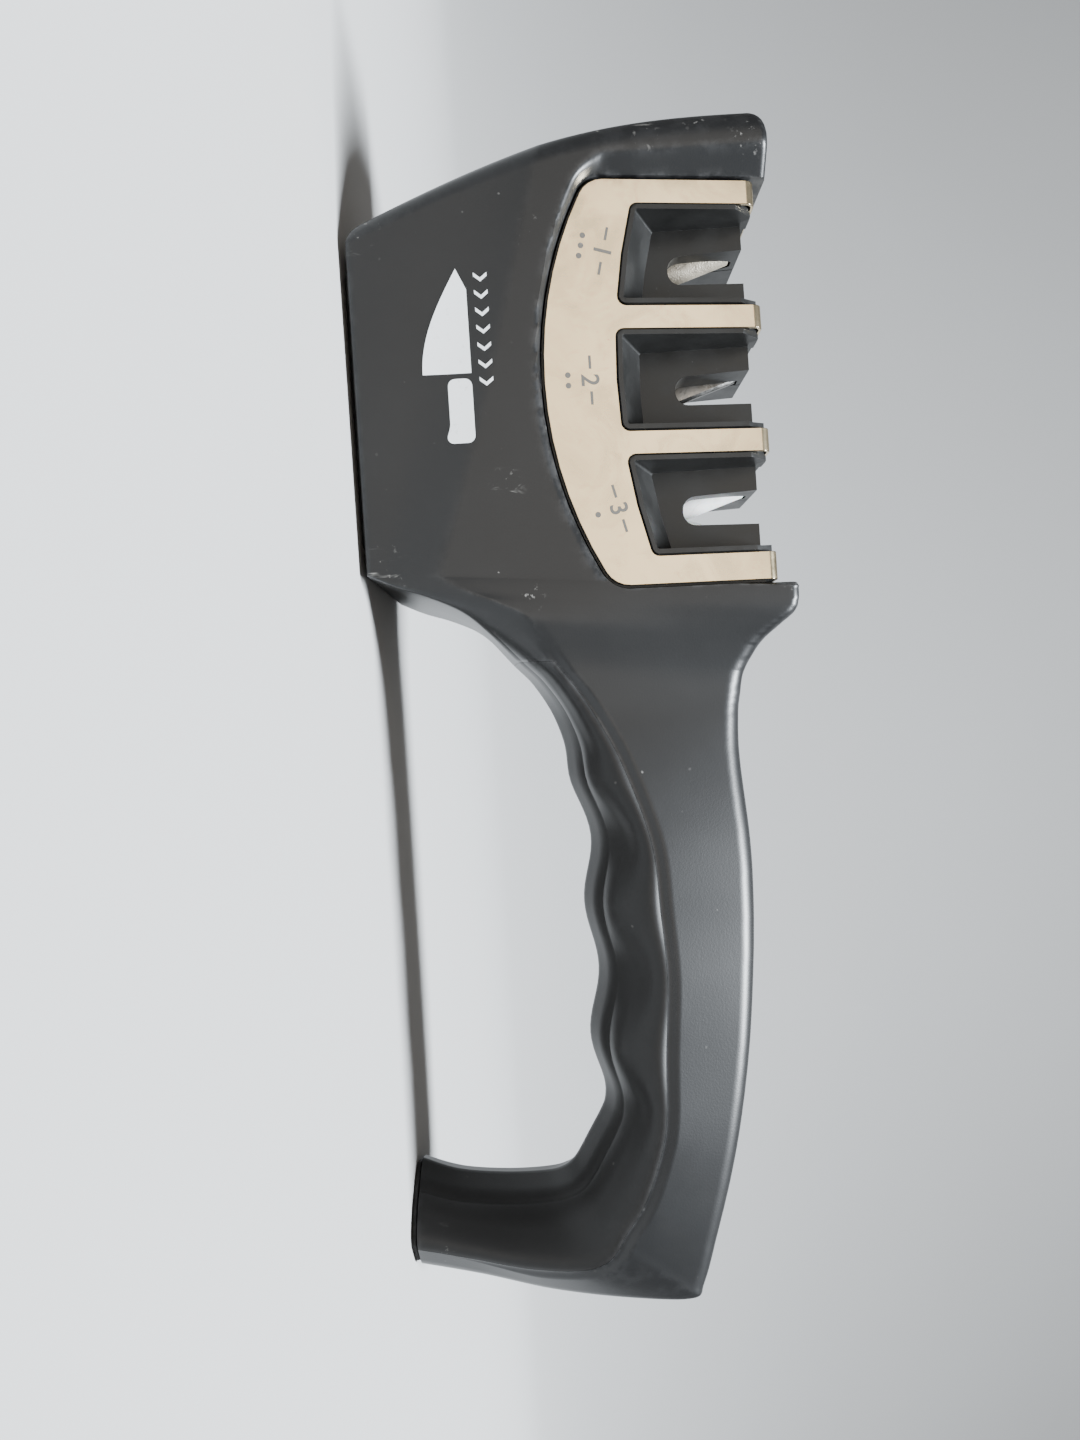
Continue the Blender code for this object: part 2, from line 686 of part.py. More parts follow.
def make_screw(name, start, axis, size, finish):
    """Pan-head screw: head on start, shank along axis, size (radius, length, head radius)."""
    radius, length, head_radius = size
    profile = [
        (head_radius * 0.75, -HEAD_HEIGHT),
        (head_radius, -HEAD_HEIGHT * 0.6),
        (head_radius, 0.0),
        (radius, 0.0),
        (radius, length - radius),
        (radius * 0.35, length),
    ]
    screw = turned(name, profile, start, axis, finish, segments=16)
    axis = Vector(axis).normalized()
    far = Vector(start) - axis * (HEAD_HEIGHT - DRIVE_DEPTH)
    sides = [v for v in (Vector((1, 0, 0)), Vector((0, 1, 0)), Vector((0, 0, 1))) if not v.dot(axis)]
    tools = []
    for k, (wide, narrow) in enumerate((sides, sides[::-1])):
        half = head_radius * 0.55
        ring = []
        for a, b in ((-1, -1), (1, -1), (1, 1), (-1, 1)):
            ring.append(far + wide * (a * half) + narrow * (b * DRIVE_WIDTH / 2))
        deep = [p - axis * (DRIVE_DEPTH + 1.0) for p in ring]
        tools.append(loft(f"{name}_drive_{k}", [ring, deep]))
    cut(screw, tools)
    return screw


def make_cover(finish):
    """Bright sheet bent over the insert, open at the three slots."""
    def bent(grow, low):
        half_low = cover_plane(low) - grow
        radius = COVER_BEND_RADIUS - grow
        top = COVER_TOP - grow
        corners = [
            (-half_low, low, 0.0),
            (-COVER_TOP_HALF_WIDTH + grow, top, radius),
            (COVER_TOP_HALF_WIDTH - grow, top, radius),
            (half_low, low, 0.0),
        ]
        return round_corners(corners, segments=4)

    def sheet(grow, beyond):
        ends = (COVER_FRONT - beyond, COVER_REAR + beyond)
        outline = bent(grow, COVER_BOTTOM - beyond)
        return [[Vector((x, p.x, p.y)) for p in outline] for x in ends]

    cover = loft("slot_cover", sheet(0.0, BEYOND), finish)
    wide = BASE_HALF_WIDTH + BEYOND
    tools = [loft("cover_inside", sheet(COVER_SHEET, 2 * BEYOND))]
    for k, slot in enumerate(SLOTS):
        outline = window_outline(slot, COVER_TOP + BEYOND, 0.0)
        tools.append(slab_y(f"cover_window_{k}", outline, -wide, wide))
    scoop = scoop_outline(COVER_FRONT, COVER_REAR, COVER_TOP + 2 * BEYOND, 0.0)
    cut(cover, [slab_y("cover_side_view", scoop, -wide, wide)], "INTERSECT")
    cut(cover, tools)
    return cover


def make_insert(name, side, finish):
    """Half of the black insert on one side (-1 or 1) of the middle, and the tools to cut from it."""
    top = COVER_TOP - COVER_SHEET - GAP
    inside = COVER_SHEET + GAP
    split = GAP / 2

    def outer_face(z):
        return side * (cover_plane(z) - inside)

    outline = scoop_outline(COVER_FRONT, COVER_REAR, top, INSERT_GROW)
    half = slab_y(name, outline, side * split, outer_face, finish)

    def rim_face(z):
        return side * (cover_plane(z) + RIM_PROUD)

    rims = []
    tools = []
    for k, slot in enumerate(SLOTS):
        rim = window_outline(slot, top + RIM_ABOVE, GAP)
        rims.append(slab_y(f"{name}_rim_{k}", rim, side * BLOCK_HALF * 0.8, rim_face))
        above = COVER_TOP + 2 * BEYOND
        outside = window_outline(slot, above, GAP + RIM_WIDTH)
        block = window_outline(slot, above, GAP + RIM_WIDTH + RECESS_DRAFT, LEDGE_RISE)
        rings = [
            [Vector((p.x, side * (cover_plane(p.y) + BEYOND), p.y)) for p in outside],
            [Vector((p.x, side * (cover_plane(p.y) - 0.5), p.y)) for p in outside],
            [Vector((p.x, side * BLOCK_HALF, p.y)) for p in block],
        ]
        tools.append(loft(f"{name}_recess_{k}", rings))
        tools.append(top_tool(f"{name}_level_{k}", slot, side))
        tools.append(notch_tool(f"{name}_notch_{k}", slot, side))
    tools.append(top_edge_tool(f"{name}_edge", top, inside, side))
    cut(half, rims, "UNION")
    return half, tools


def top_tool(name, slot, side):
    """Lowers the block between two bars to its own top."""
    half = WINDOW_WIDTH / 2 - GAP - RIM_WIDTH - RECESS_DRAFT / 2
    outline = [Vector(p) for p in (
        (slot - half, BLOCK_TOP), (slot + half, BLOCK_TOP),
        (slot + half, COVER_TOP + BEYOND), (slot - half, COVER_TOP + BEYOND),
    )]
    return slab_y(name, outline, -side, side * (BLOCK_HALF + 1.5))


def notch_tool(name, slot, side):
    """Slot for the blade: straight sides that widen to the mouth and a round bottom."""
    radius = NOTCH_WIDTH / 2
    mouth = radius + (NOTCH_MOUTH / 2 - radius) * (NOTCH_DEPTH + BEYOND) / NOTCH_DEPTH
    corners = [
        (slot - mouth, BLOCK_TOP + BEYOND, 0.0),
        (slot - radius, NOTCH_BOTTOM, radius),
        (slot + radius, NOTCH_BOTTOM, radius),
        (slot + mouth, BLOCK_TOP + BEYOND, 0.0),
    ]
    outline = round_corners(corners, segments=6)
    return slab_y(name, outline, -side, side * (BLOCK_HALF + 2.0))


def top_edge_tool(name, top, inside, side):
    """Chamfer along the insert's top edge, under the bend of the cover."""
    edge = COVER_TOP_HALF_WIDTH - inside
    reach = EDGE_CHAMFER + BEYOND
    corners = [(edge + BEYOND, top - reach), (edge + BEYOND, top + BEYOND), (edge - reach, top + BEYOND)]
    rings = []
    for x in (COVER_FRONT - BEYOND, COVER_REAR + BEYOND):
        rings.append([Vector((x, side * y, z)) for y, z in corners])
    return loft(name, rings)


def v_line(slot, side_x):
    """Start on the V's point and direction of the edge on one side of a slot."""
    start = Vector((slot, 0.0, V_POINT))
    along = Vector((side_x * math.sin(SLOPE), 0.0, math.cos(SLOPE)))
    out = Vector((side_x * math.cos(SLOPE), 0.0, -math.sin(SLOPE)))
    return start, along, out


def make_rod(name, slot, side_x, finish, half_side):
    """Round rod whose inner side is one edge of the V. Returns the tool for its socket."""
    start, along, out = v_line(slot, side_x)
    top = (BLOCK_TOP - ROD_BELOW_TOP - V_POINT) / math.cos(SLOPE)
    y = half_side * (ROD_RADIUS + GAP)
    base = start + out * ROD_RADIUS + along * (top - ROD_LENGTH) + Vector((0, y, 0))
    soft = ROD_RADIUS * 0.12
    profile = [
        (ROD_RADIUS - soft, 0.0),
        (ROD_RADIUS, soft),
        (ROD_RADIUS, ROD_LENGTH - soft),
        (ROD_RADIUS - soft, ROD_LENGTH),
    ]
    turned(name, profile, base, along, finish, segments=24)
    wide = ROD_RADIUS + GAP
    socket = [(wide, -GAP), (wide, ROD_LENGTH + GAP)]
    return turned(f"{name}_socket", socket, base, along, segments=24)


def make_blade(name, slot, side_x, finish, half_side):
    """Flat carbide blade whose inner edge is one edge of the V. Returns the tool for its socket."""
    start, along, out = v_line(slot, side_x)
    top = (BLOCK_TOP - ROD_BELOW_TOP - V_POINT) / math.cos(SLOPE)
    low = top - BLADE_LENGTH

    def box(grow, y_near, y_far):
        ends, edges = (low - grow, top + grow), (-grow, BLADE_WIDTH + grow)
        corners = [(ends[0], edges[0]), (ends[1], edges[0]), (ends[1], edges[1]), (ends[0], edges[1])]
        ring = [start + along * a + out * b for a, b in corners]
        return [[p + Vector((0, half_side * y, 0)) for p in ring] for y in (y_near, y_far)]

    loft(name, box(0.0, GAP, GAP + BLADE_THICKNESS), finish)
    return loft(f"{name}_socket", box(GAP, -1.0, 2 * GAP + BLADE_THICKNESS))


def main():
    """Make every piece."""
    shell_black = material("body_plastic", (0.050, 0.052, 0.056), 0.55)
    grip_black = material("grip_soft", (0.040, 0.040, 0.041), 0.7)
    insert_black = material("insert_plastic", (0.020, 0.020, 0.021), 0.45)
    plate_black = material("plate_plastic", (0.035, 0.035, 0.037), 0.6)
    pad_black = material("pad_rubber", (0.015, 0.015, 0.015), 0.85)
    steel = material("cover_steel", (0.78, 0.72, 0.64), 0.18, 1.0)
    coated = material("coated_rod", (0.42, 0.38, 0.32), 0.6, 0.4)
    carbide = material("carbide", (0.25, 0.25, 0.26), 0.3, 1.0)
    ceramic = material("ceramic_white", (0.85, 0.84, 0.80), 0.35)
    screw_steel = material("screw_steel", (0.55, 0.55, 0.55), 0.35, 1.0)

    make_shell(shell_black)
    make_grip(grip_black)
    make_base(plate_black, pad_black)
    make_foot_pad(pad_black)
    make_cover(steel)
    front, front_tools = make_insert("insert_half_front", -1, insert_black)
    back, back_tools = make_insert("insert_half_back", 1, insert_black)

    makers = ((make_rod, "coarse_rod", coated), (make_blade, "carbide_blade", carbide))
    makers += ((make_rod, "ceramic_rod", ceramic),)
    for slot, (maker, name, finish) in zip(SLOTS, makers):
        front_tools.append(maker(f"{name}_nose", slot, -1, finish, -1))
        back_tools.append(maker(f"{name}_grip", slot, 1, finish, 1))

    for k, (x, y) in enumerate(boss_places(), 1):
        start = (x, y, PAD_SEAT + HEAD_HEIGHT)
        size = (SCREW_RADIUS, BASE_SCREW_LENGTH, HEAD_RADIUS)
        make_screw(f"base_screw_{k}", start, (0, 0, 1), size, screw_steel)
    for k, (x, y) in enumerate(mount_places(), 1):
        start = (x, y, CAVITY_TOP - GAP)
        size = (SCREW_RADIUS, MOUNT_SCREW_LENGTH, HEAD_RADIUS)
        make_screw(f"mount_screw_{k}", start, (0, 0, 1), size, screw_steel)
        hole = [(SCREW_RADIUS + GAP, -SHELF), (SCREW_RADIUS + GAP, MOUNT_SCREW_LENGTH + 1.0)]
        tools = front_tools if y < 0 else back_tools
        tools.append(turned(f"mount_hole_{k}", hole, start, (0, 0, 1), segments=12))
    for k, (x, z) in enumerate(clamp_places(), 1):
        seat = -(cover_plane(z) - COVER_SHEET - 3 * GAP - HEAD_HEIGHT)
        start = (x, seat, z)
        size = (CLAMP_SCREW_RADIUS, CLAMP_SCREW_LENGTH, CLAMP_HEAD_RADIUS)
        make_screw(f"clamp_screw_{k}", start, (0, 1, 0), size, screw_steel)
        wide, thin = CLAMP_HEAD_RADIUS + GAP, CLAMP_SCREW_RADIUS + GAP
        hole = [(wide, -12.0), (wide, GAP), (thin, GAP), (thin, CLAMP_SCREW_LENGTH + 1.0)]
        tool = turned(f"clamp_hole_{k}", hole, start, (0, 1, 0), segments=16)
        front_tools.append(tool)
        back_tools.append(tool)
    cut(front, front_tools)
    cut(back, back_tools)


for old in list(bpy.data.objects):
    bpy.data.objects.remove(old, do_unlink=True)
PLACE = bpy.data.objects.new("sharpener", None)
bpy.context.collection.objects.link(PLACE)
ENDS = [point.x for section in body_sections() for point in section.whole()]
PLACE.location.x = -MM * (min(ENDS) + max(ENDS)) / 2
main()
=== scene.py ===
"""Three-slot pull-through knife sharpener, dressed for a studio picture.

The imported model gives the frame: every piece is placed from its boxes. The body, grip, rods, blades
and marks are modelled here at full finish. The cover, the insert and the underside are copies of the
model's own solids with worked edges. Sizes are millimetres, counted from the heel (X) and from the
ground (Z), and every mesh is moved into the model's frame, in metres, as its last step.
"""

import logging
import math
from dataclasses import dataclass, field, replace
from enum import Enum
from typing import Callable, Sequence

import bmesh
import bpy
import numpy as np
from mathutils import Matrix, Vector
from mathutils.bvhtree import BVHTree


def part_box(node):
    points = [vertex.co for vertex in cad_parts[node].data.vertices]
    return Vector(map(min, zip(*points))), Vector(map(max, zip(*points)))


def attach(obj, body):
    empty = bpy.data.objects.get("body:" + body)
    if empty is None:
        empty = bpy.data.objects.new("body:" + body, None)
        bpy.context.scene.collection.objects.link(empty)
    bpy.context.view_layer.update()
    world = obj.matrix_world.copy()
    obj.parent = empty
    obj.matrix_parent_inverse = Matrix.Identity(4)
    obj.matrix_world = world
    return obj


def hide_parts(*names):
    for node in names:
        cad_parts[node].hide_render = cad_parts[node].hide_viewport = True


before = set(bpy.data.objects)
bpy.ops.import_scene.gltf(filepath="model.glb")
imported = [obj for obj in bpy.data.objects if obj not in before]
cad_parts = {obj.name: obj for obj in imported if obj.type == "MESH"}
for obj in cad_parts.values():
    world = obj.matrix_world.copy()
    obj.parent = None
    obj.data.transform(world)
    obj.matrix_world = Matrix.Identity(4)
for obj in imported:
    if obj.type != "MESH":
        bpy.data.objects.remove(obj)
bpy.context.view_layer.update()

MM = 0.001
SHARP_ANGLE = math.radians(38.0)
CRISP_ANGLE = math.radians(30.0)
FLAT_ANGLE = math.radians(1.0)
FULL_EDGE_TURN = 1.5
COVER_BEHIND_HEEL = 4.1
COVER_TOP_HALF_WIDTH = 14.3
AIM = Vector((27.4, 0.0, 30.1))

# Where the body has been knocked: x, y, z and reach, in millimetres.
KNOCKS = (
    (-76.6, -19, 56, 4), (-78.2, -18, 65, 4), (-81.1, -14, 69, 4), (-76.6, -17, 75, 5),
    (-79.0, -19, 47, 5), (-61.0, -25, 3, 6), (-0.5, -24, 3, 7), (-14.6, -23, 27, 4),
    (-60.1, -23, 34, 3), (5.5, -22, 30, 3), (10.7, -20, 25, 3), (4.5, -14, 79, 4),
    (124.0, -14, 5, 5), (128.8, -12, 21, 4), (127.0, -13, 2, 5), (135.5, -9, 50, 4),
)
BEVEL = {"offset_type": "OFFSET", "affect": "EDGES", "profile": 0.5, "material": -1}
log = logging.getLogger("sharpener")

Point = tuple[float, float]
Colour = tuple[float, float, float]


def mix(a: float, b: float, share: float) -> float:
    """Value between a and b."""
    return a + (b - a) * share


def smooth(share: float) -> float:
    """Ease from 0 to 1, flat at both ends."""
    share = min(max(share, 0.0), 1.0)
    return share * share * (3.0 - 2.0 * share)


def soft_min(a: float, b: float, reach: float) -> float:
    """Smaller of two values, rounded over near the place where they meet.

    Args:
        a: One value.
        b: The other value.
        reach: Difference between them at which the rounding starts.

    Returns:
        The smaller value, or a little less.
    """
    near = max(reach - abs(a - b), 0.0) / reach
    return min(a, b) - near * near * reach / 4.0


# ---------------------------------------------------------------- node graphs


class Graph:
    """Short-hand for building one material's nodes."""

    def __init__(self, name: str) -> None:
        """Start a material with one Principled shader.

        Args:
            name: The material's name.
        """
        self.material = bpy.data.materials.new(name)
        self.material.use_nodes = True
        self.nodes = self.material.node_tree.nodes
        self.links = self.material.node_tree.links
        self.shader = self.nodes["Principled BSDF"]
        self.place = self.nodes.new("ShaderNodeTexCoord").outputs["Object"]

    def put(self, kind: str, *inputs: object, **settings: object) -> bpy.types.Node:
        """Add a node.

        Args:
            kind: Node type.
            inputs: A value or socket for each input in turn; None leaves one alone.
            settings: Attributes of the node.

        Returns:
            The node.
        """
        node = self.nodes.new(kind)
        for key, value in settings.items():
            setattr(node, key, value)
        for socket, value in zip(node.inputs, inputs):
            if isinstance(value, bpy.types.NodeSocket):
                self.links.new(value, socket)
            elif value is not None:
                socket.default_value = value
        return node

    def math(self, operation: str, a: object, b: object = None) -> bpy.types.NodeSocket:
        """Result of one arithmetic step on two values or sockets."""
        return self.put("ShaderNodeMath", a, b, operation=operation).outputs[0]

    def moved(self, scale: Sequence[float], turn: Sequence[float] = (0, 0, 0)) -> bpy.types.NodeSocket:
        """Object coordinates, turned and stretched."""
        return self.put("ShaderNodeMapping", self.place, (0, 0, 0), turn, scale).outputs[0]

    def noise(self, per_metre: float, detail: float = 3.0, rough: float = 0.55,
              vector: bpy.types.NodeSocket | None = None, warp: float = 0.0) -> bpy.types.NodeSocket:
        """Smooth random pattern between 0 and 1.

        Args:
            per_metre: Number of waves in a metre.
            detail: Number of finer layers.
            rough: Weight of each finer layer.
            vector: Coordinates to read; None for the object's own.
            warp: How far the pattern is twisted.

        Returns:
            The pattern.
        """
        node = self.put("ShaderNodeTexNoise")
        self.links.new(vector or self.place, node.inputs["Vector"])
        node.inputs["Scale"].default_value = per_metre
        node.inputs["Detail"].default_value = detail
        node.inputs["Roughness"].default_value = rough
        node.inputs["Distortion"].default_value = warp
        return node.outputs[0]

    def cells(self, per_metre: float) -> bpy.types.Node:
        """Random cells.

        Args:
            per_metre: Number of cells in a metre.

        Returns:
            A node with the Distance from the nearest centre and a Color for each cell.
        """
        node = self.put("ShaderNodeTexVoronoi", self.place)
        node.inputs["Scale"].default_value = per_metre
        return node

    def ramp(self, value: object, low: float, high: float, start: float = 0.0,
             end: float = 1.0) -> bpy.types.NodeSocket:
        """Value eased from start to end as it goes from low to high.

        Args:
            value: What is eased.
            low: Where the ease begins.
            high: Where it ends; lower than low for a falling one.
            start: Result at low.
            end: Result at high.

        Returns:
            The eased value.
        """
        node = self.put("ShaderNodeMapRange", value, low, high, start, end, interpolation_type="SMOOTHSTEP")
        return node.outputs[0]

    def blend(self, share: object, a: object, b: object) -> bpy.types.NodeSocket:
        """Colour between two colours.

        Args:
            share: 0 for the first, 1 for the second.
            a: First colour or socket.
            b: Second colour or socket.

        Returns:
            The blended colour.
        """
        node = self.nodes.new("ShaderNodeMix")
        node.data_type = "RGBA"
        node.clamp_factor = True
        for name, value in (("Factor", share), ("A", a), ("B", b)):
            sockets = [s for s in node.inputs if s.name == name and s.enabled]
            if isinstance(value, bpy.types.NodeSocket):
                self.links.new(value, sockets[0])
            elif name == "Factor":
                sockets[0].default_value = value
            else:
                sockets[0].default_value = (*value, 1.0)
        return [s for s in node.outputs if s.enabled][0]

    def near(self, point: Sequence[float], reach: float) -> bpy.types.NodeSocket:
        """Closeness to a point.

        Args:
            point: Place in the frame, in metres.
            reach: Distance in metres where the result has fallen to 0.

        Returns:
            1 at the point, falling to 0.
        """
        away = self.put("ShaderNodeVectorMath", self.place, point, operation="DISTANCE").outputs["Value"]
        return self.ramp(away, reach, 0.0)

    def attribute(self, name: str) -> bpy.types.NodeSocket:
        """Value of a mesh attribute."""
        return self.put("ShaderNodeAttribute", attribute_name=name).outputs["Fac"]

    def bump(self, height: bpy.types.NodeSocket, depth: float, strength: float = 1.0) -> None:
        """Feed the shader's normal with a height pattern.

        Args:
            height: The pattern.
            depth: Height in metres of its full range.
            strength: Share of the effect that is used.
        """
        node = self.nodes.new("ShaderNodeBump")
        node.inputs["Strength"].default_value = strength
        node.inputs["Distance"].default_value = depth
        self.links.new(height, node.inputs["Height"])
        self.links.new(node.outputs[0], self.shader.inputs["Normal"])

    def set(self, **values: object) -> None:
        """Set the shader's inputs.

        Args:
            values: A value or socket for each input by name, with _ for a space.
        """
        for key, value in values.items():
            socket = self.shader.inputs[key.replace("_", " ")]
            if isinstance(value, bpy.types.NodeSocket):
                self.links.new(value, socket)
            elif isinstance(value, tuple) and len(value) == 3:
                socket.default_value = (*value, 1.0)
            else:
                socket.default_value = value


# ---------------------------------------------------------------- finishes


@dataclass(frozen=True)
class SoftTouch:
    """Charcoal plastic with a soft-touch skin, pale where it has been knocked, dull where it is held.

    Knocks are places and reaches in millimetres. dull_from is the X, in metres, where the held part
    starts, and lies past the object on a piece that isn't held.
    """

    name: str = "soft_touch_charcoal"
    base: Colour = (0.0092, 0.0094, 0.0098)
    light: Colour = (0.0106, 0.0108, 0.0112)
    scuff: Colour = (0.34, 0.33, 0.31)
    worn: Colour = (0.055, 0.055, 0.056)
    roughness: float = 0.36
    shine: float = 0.34
    knocks: tuple[tuple[float, float, float, float], ...] = ()
    dull_from: float = 1.0
    dull_reach: float = 0.015
    dull: Colour = (0.006, 0.0052, 0.0045)

    def make(self) -> bpy.types.Material:
        """Build the material.

        Returns:
            The material.
        """
        g = Graph(self.name)
        cloudy = g.noise(38.0, 4.0)
        grain = g.noise(2600.0, 2.0)
        colour = g.blend(g.ramp(cloudy, 0.35, 0.7), self.base, self.light)
        edge = g.attribute("edge")
        broken = g.ramp(g.noise(260.0, 5.0, 0.7), 0.42, 0.62)
        colour = g.blend(g.math("MULTIPLY", g.math("MULTIPLY", edge, broken), 0.75), colour, self.worn)
        knocked = 0.0
        for x, y, z, reach in self.knocks:
            knocked = g.math("MAXIMUM", g.near((x * MM, y * MM, z * MM), reach * MM), knocked)
        dust = g.cells(640.0)
        lonely = g.ramp(g.put("ShaderNodeSeparateColor", dust.outputs["Color"]).outputs[0], 0.955, 0.99)
        size = g.ramp(g.noise(900.0, 1.0), 0.2, 0.8, 0.10, 0.30)
        dot = g.ramp(g.math("SUBTRACT", size, dust.outputs["Distance"]), 0.0, 0.12)
        few = g.ramp(g.noise(70.0, 2.0), 0.5, 0.66, 0.1, 1.0)
        specks = g.math("MULTIPLY", g.math("MULTIPLY", dot, lonely), few)
        streaks = g.noise(430.0, 4.0, 0.65, g.moved(turn=(0.3, 0.9, 0.2), scale=(1.0, 1.0, 0.22)), 0.6)
        scrape = g.math("MULTIPLY", g.ramp(streaks, 0.60, 0.72), knocked)
        chips = g.math("MULTIPLY", g.ramp(g.noise(700.0, 3.0, 0.6), 0.62, 0.72), knocked)
        marks = g.math("MAXIMUM", g.math("MAXIMUM", g.math("MULTIPLY", specks, 0.6), scrape), chips)
        colour = g.blend(g.math("MULTIPLY", marks, 0.8), colour, self.scuff)
        rough = g.ramp(cloudy, 0.3, 0.7, self.roughness - 0.008, self.roughness + 0.012)
        rough = g.math("ADD", rough, g.math("MULTIPLY", marks, 0.2))
        rough = g.math("SUBTRACT", rough, g.math("MULTIPLY", edge, 0.05))
        along = g.put("ShaderNodeSeparateXYZ", g.place).outputs["X"]
        handled = g.ramp(along, self.dull_from, self.dull_from + self.dull_reach)
        colour = g.blend(g.math("MULTIPLY", handled, 0.6), colour, self.dull)
        rough = g.math("ADD", rough, g.math("MULTIPLY", handled, 0.10))
        g.set(Base_Color=colour, Roughness=rough, Specular_IOR_Level=self.shine)
        g.bump(g.math("ADD", grain, g.math("MULTIPLY", marks, 0.6)), 0.000012)
        return g.material


@dataclass(frozen=True)
class PolishedSteel:
    """Bright bent sheet with handling smudges, a faint waviness, and painted shade low down and along its
    edges.
    """

    name: str = "polished_sheet_steel"
    colour: Colour = (0.90, 0.755, 0.50)
    # Colour of handling smudges, also used for painted shade towards the bottom of the cover.
    smudge_and_shade: Colour = (0.66, 0.545, 0.355)
    # Colour of pits, also used for painted shade on the cover's rounded edges and bends.
    edge: Colour = (0.26, 0.21, 0.155)
    roughness: float = 0.16

    def make(self) -> bpy.types.Material:
        """Build the material.

        Returns:
            The material.
        """
        g = Graph(self.name)
        cloud = g.noise(95.0, 4.0, 0.6, warp=0.8)
        prints = g.ramp(g.noise(210.0, 3.0, 0.5, warp=1.5), 0.60, 0.72)
        colour = g.blend(g.ramp(cloud, 0.40, 0.70, 0.0, 0.55), self.colour, self.smudge_and_shade)
        # Painted shade: the cover darkens towards the bottom, so its top bars read lighter.
        height = g.put("ShaderNodeSeparateXYZ", g.place).outputs["Z"]
        colour = g.blend(g.ramp(height, 0.058, 0.036, 0.0, 0.45), colour, self.smudge_and_shade)
        colour = g.blend(g.math("MULTIPLY", prints, 0.35), colour, self.smudge_and_shade)
        # Painted shade: the rounded edges and bends of the cover are darkened.
        colour = g.blend(g.math("MULTIPLY", g.attribute("edge"), 0.85), colour, self.edge)
        pits = g.ramp(g.cells(520.0).outputs["Distance"], 0.10, 0.02)
        rare = g.ramp(g.noise(150.0, 2.0), 0.60, 0.68)
        spots = g.math("MULTIPLY", pits, rare)
        colour = g.blend(g.math("MULTIPLY", spots, 0.5), colour, self.edge)
        fine = g.noise(1500.0, 3.0, 0.6, g.moved(scale=(1.0, 0.08, 0.08)))
        rough = g.math("ADD", g.ramp(cloud, 0.3, 0.75, self.roughness, self.roughness + 0.12),
                       g.math("MULTIPLY", fine, 0.05))
        g.set(Base_Color=colour, Roughness=rough, Metallic=1.0)
        wave = g.noise(55.0, 1.0, 0.4)
        g.bump(g.math("ADD", wave, g.math("MULTIPLY", fine, 0.004)), 0.00022, 0.5)
        return g.material


@dataclass(frozen=True)
class MouldedBlack:
    """Satin black moulding whose edges are rubbed grey."""

    name: str = "moulded_black"
    base: Colour = (0.0085, 0.0085, 0.0082)
    light: Colour = (0.0125, 0.0125, 0.0120)
    worn: Colour = (0.11, 0.11, 0.105)
    roughness: float = 0.38
    grain_depth: float = 0.00001

    def make(self) -> bpy.types.Material:
        """Build the material.

        Returns:
            The material.
        """
        g = Graph(self.name)
        cloudy = g.noise(120.0, 4.0, 0.6)
        colour = g.blend(g.ramp(cloudy, 0.35, 0.72), self.base, self.light)
        broken = g.ramp(g.noise(420.0, 4.0, 0.7), 0.36, 0.66, 0.15, 1.0)
        rubbed = g.ramp(g.math("MULTIPLY", g.attribute("edge"), broken), 0.35, 0.95)
        dust = g.ramp(g.noise(1300.0, 2.0, 0.6), 0.70, 0.78)
        dusty = g.math("MULTIPLY", dust, g.ramp(g.noise(140.0, 2.0), 0.5, 0.7))
        colour = g.blend(g.math("MULTIPLY", rubbed, 0.7), colour, self.worn)
        colour = g.blend(g.math("MULTIPLY", dusty, 0.35), colour, self.worn)
        rough = g.ramp(cloudy, 0.3, 0.7, self.roughness - 0.05, self.roughness + 0.08)
        g.set(Base_Color=colour, Roughness=rough, Specular_IOR_Level=0.35)
        g.bump(g.noise(1900.0, 2.0), self.grain_depth)
        return g.material


@dataclass(frozen=True)
class PadRubber:
    """Matte black rubber with fine raised ribs on its face."""

    name: str = "ribbed_pad_rubber"
    base: Colour = (0.012, 0.012, 0.012)
    dust: Colour = (0.045, 0.044, 0.041)

    def make(self) -> bpy.types.Material:
        """Build the material.

        Returns:
            The material.
        """
        g = Graph(self.name)
        dusty = g.ramp(g.noise(160.0, 5.0, 0.7), 0.45, 0.75)
        g.set(Base_Color=g.blend(dusty, self.base, self.dust), Roughness=0.86)
        ribs = g.put("ShaderNodeTexWave", g.place, bands_direction="DIAGONAL")
        ribs.inputs["Scale"].default_value = 110.0
        ribs.inputs["Distortion"].default_value = 0.0
        g.bump(g.math("ADD", ribs.outputs["Fac"], g.math("MULTIPLY", g.noise(900.0), 0.3)), 0.00015)
        return g.material


class Stone(Enum):
    """Kinds of sharpening surface."""

    COARSE = "coarse_grit_coating"
    CARBIDE = "ground_carbide"
    CERAMIC = "white_ceramic"


@dataclass(frozen=True)
class StoneFinish:
    """Finish of a rod or blade. Grain is cells in a metre, depth its height in metres."""

    kind: Stone
    base: Colour
    stain: Colour
    roughness: float
    metallic: float
    grain: float
    depth: float
    subsurface: float = 0.0

    def make(self) -> bpy.types.Material:
        """Build the material.

        Returns:
            The material.
        """
        g = Graph(self.kind.value)
        stains = g.ramp(g.noise(340.0, 4.0, 0.65, warp=0.7), 0.48, 0.70)
        grit = g.noise(self.grain, 3.0, 0.7)
        sparkle = g.ramp(g.cells(self.grain).outputs["Distance"], 0.5, 0.1)
        colour = g.blend(stains, self.base, self.stain)
        g.set(Base_Color=colour, Metallic=self.metallic,
              Roughness=g.ramp(grit, 0.3, 0.7, self.roughness - 0.06, self.roughness + 0.08))
        if self.subsurface:
            g.set(Subsurface_Weight=self.subsurface, Subsurface_Scale=0.001)
        g.bump(g.math("ADD", grit, g.math("MULTIPLY", sparkle, 0.5)), self.depth)
        return g.material


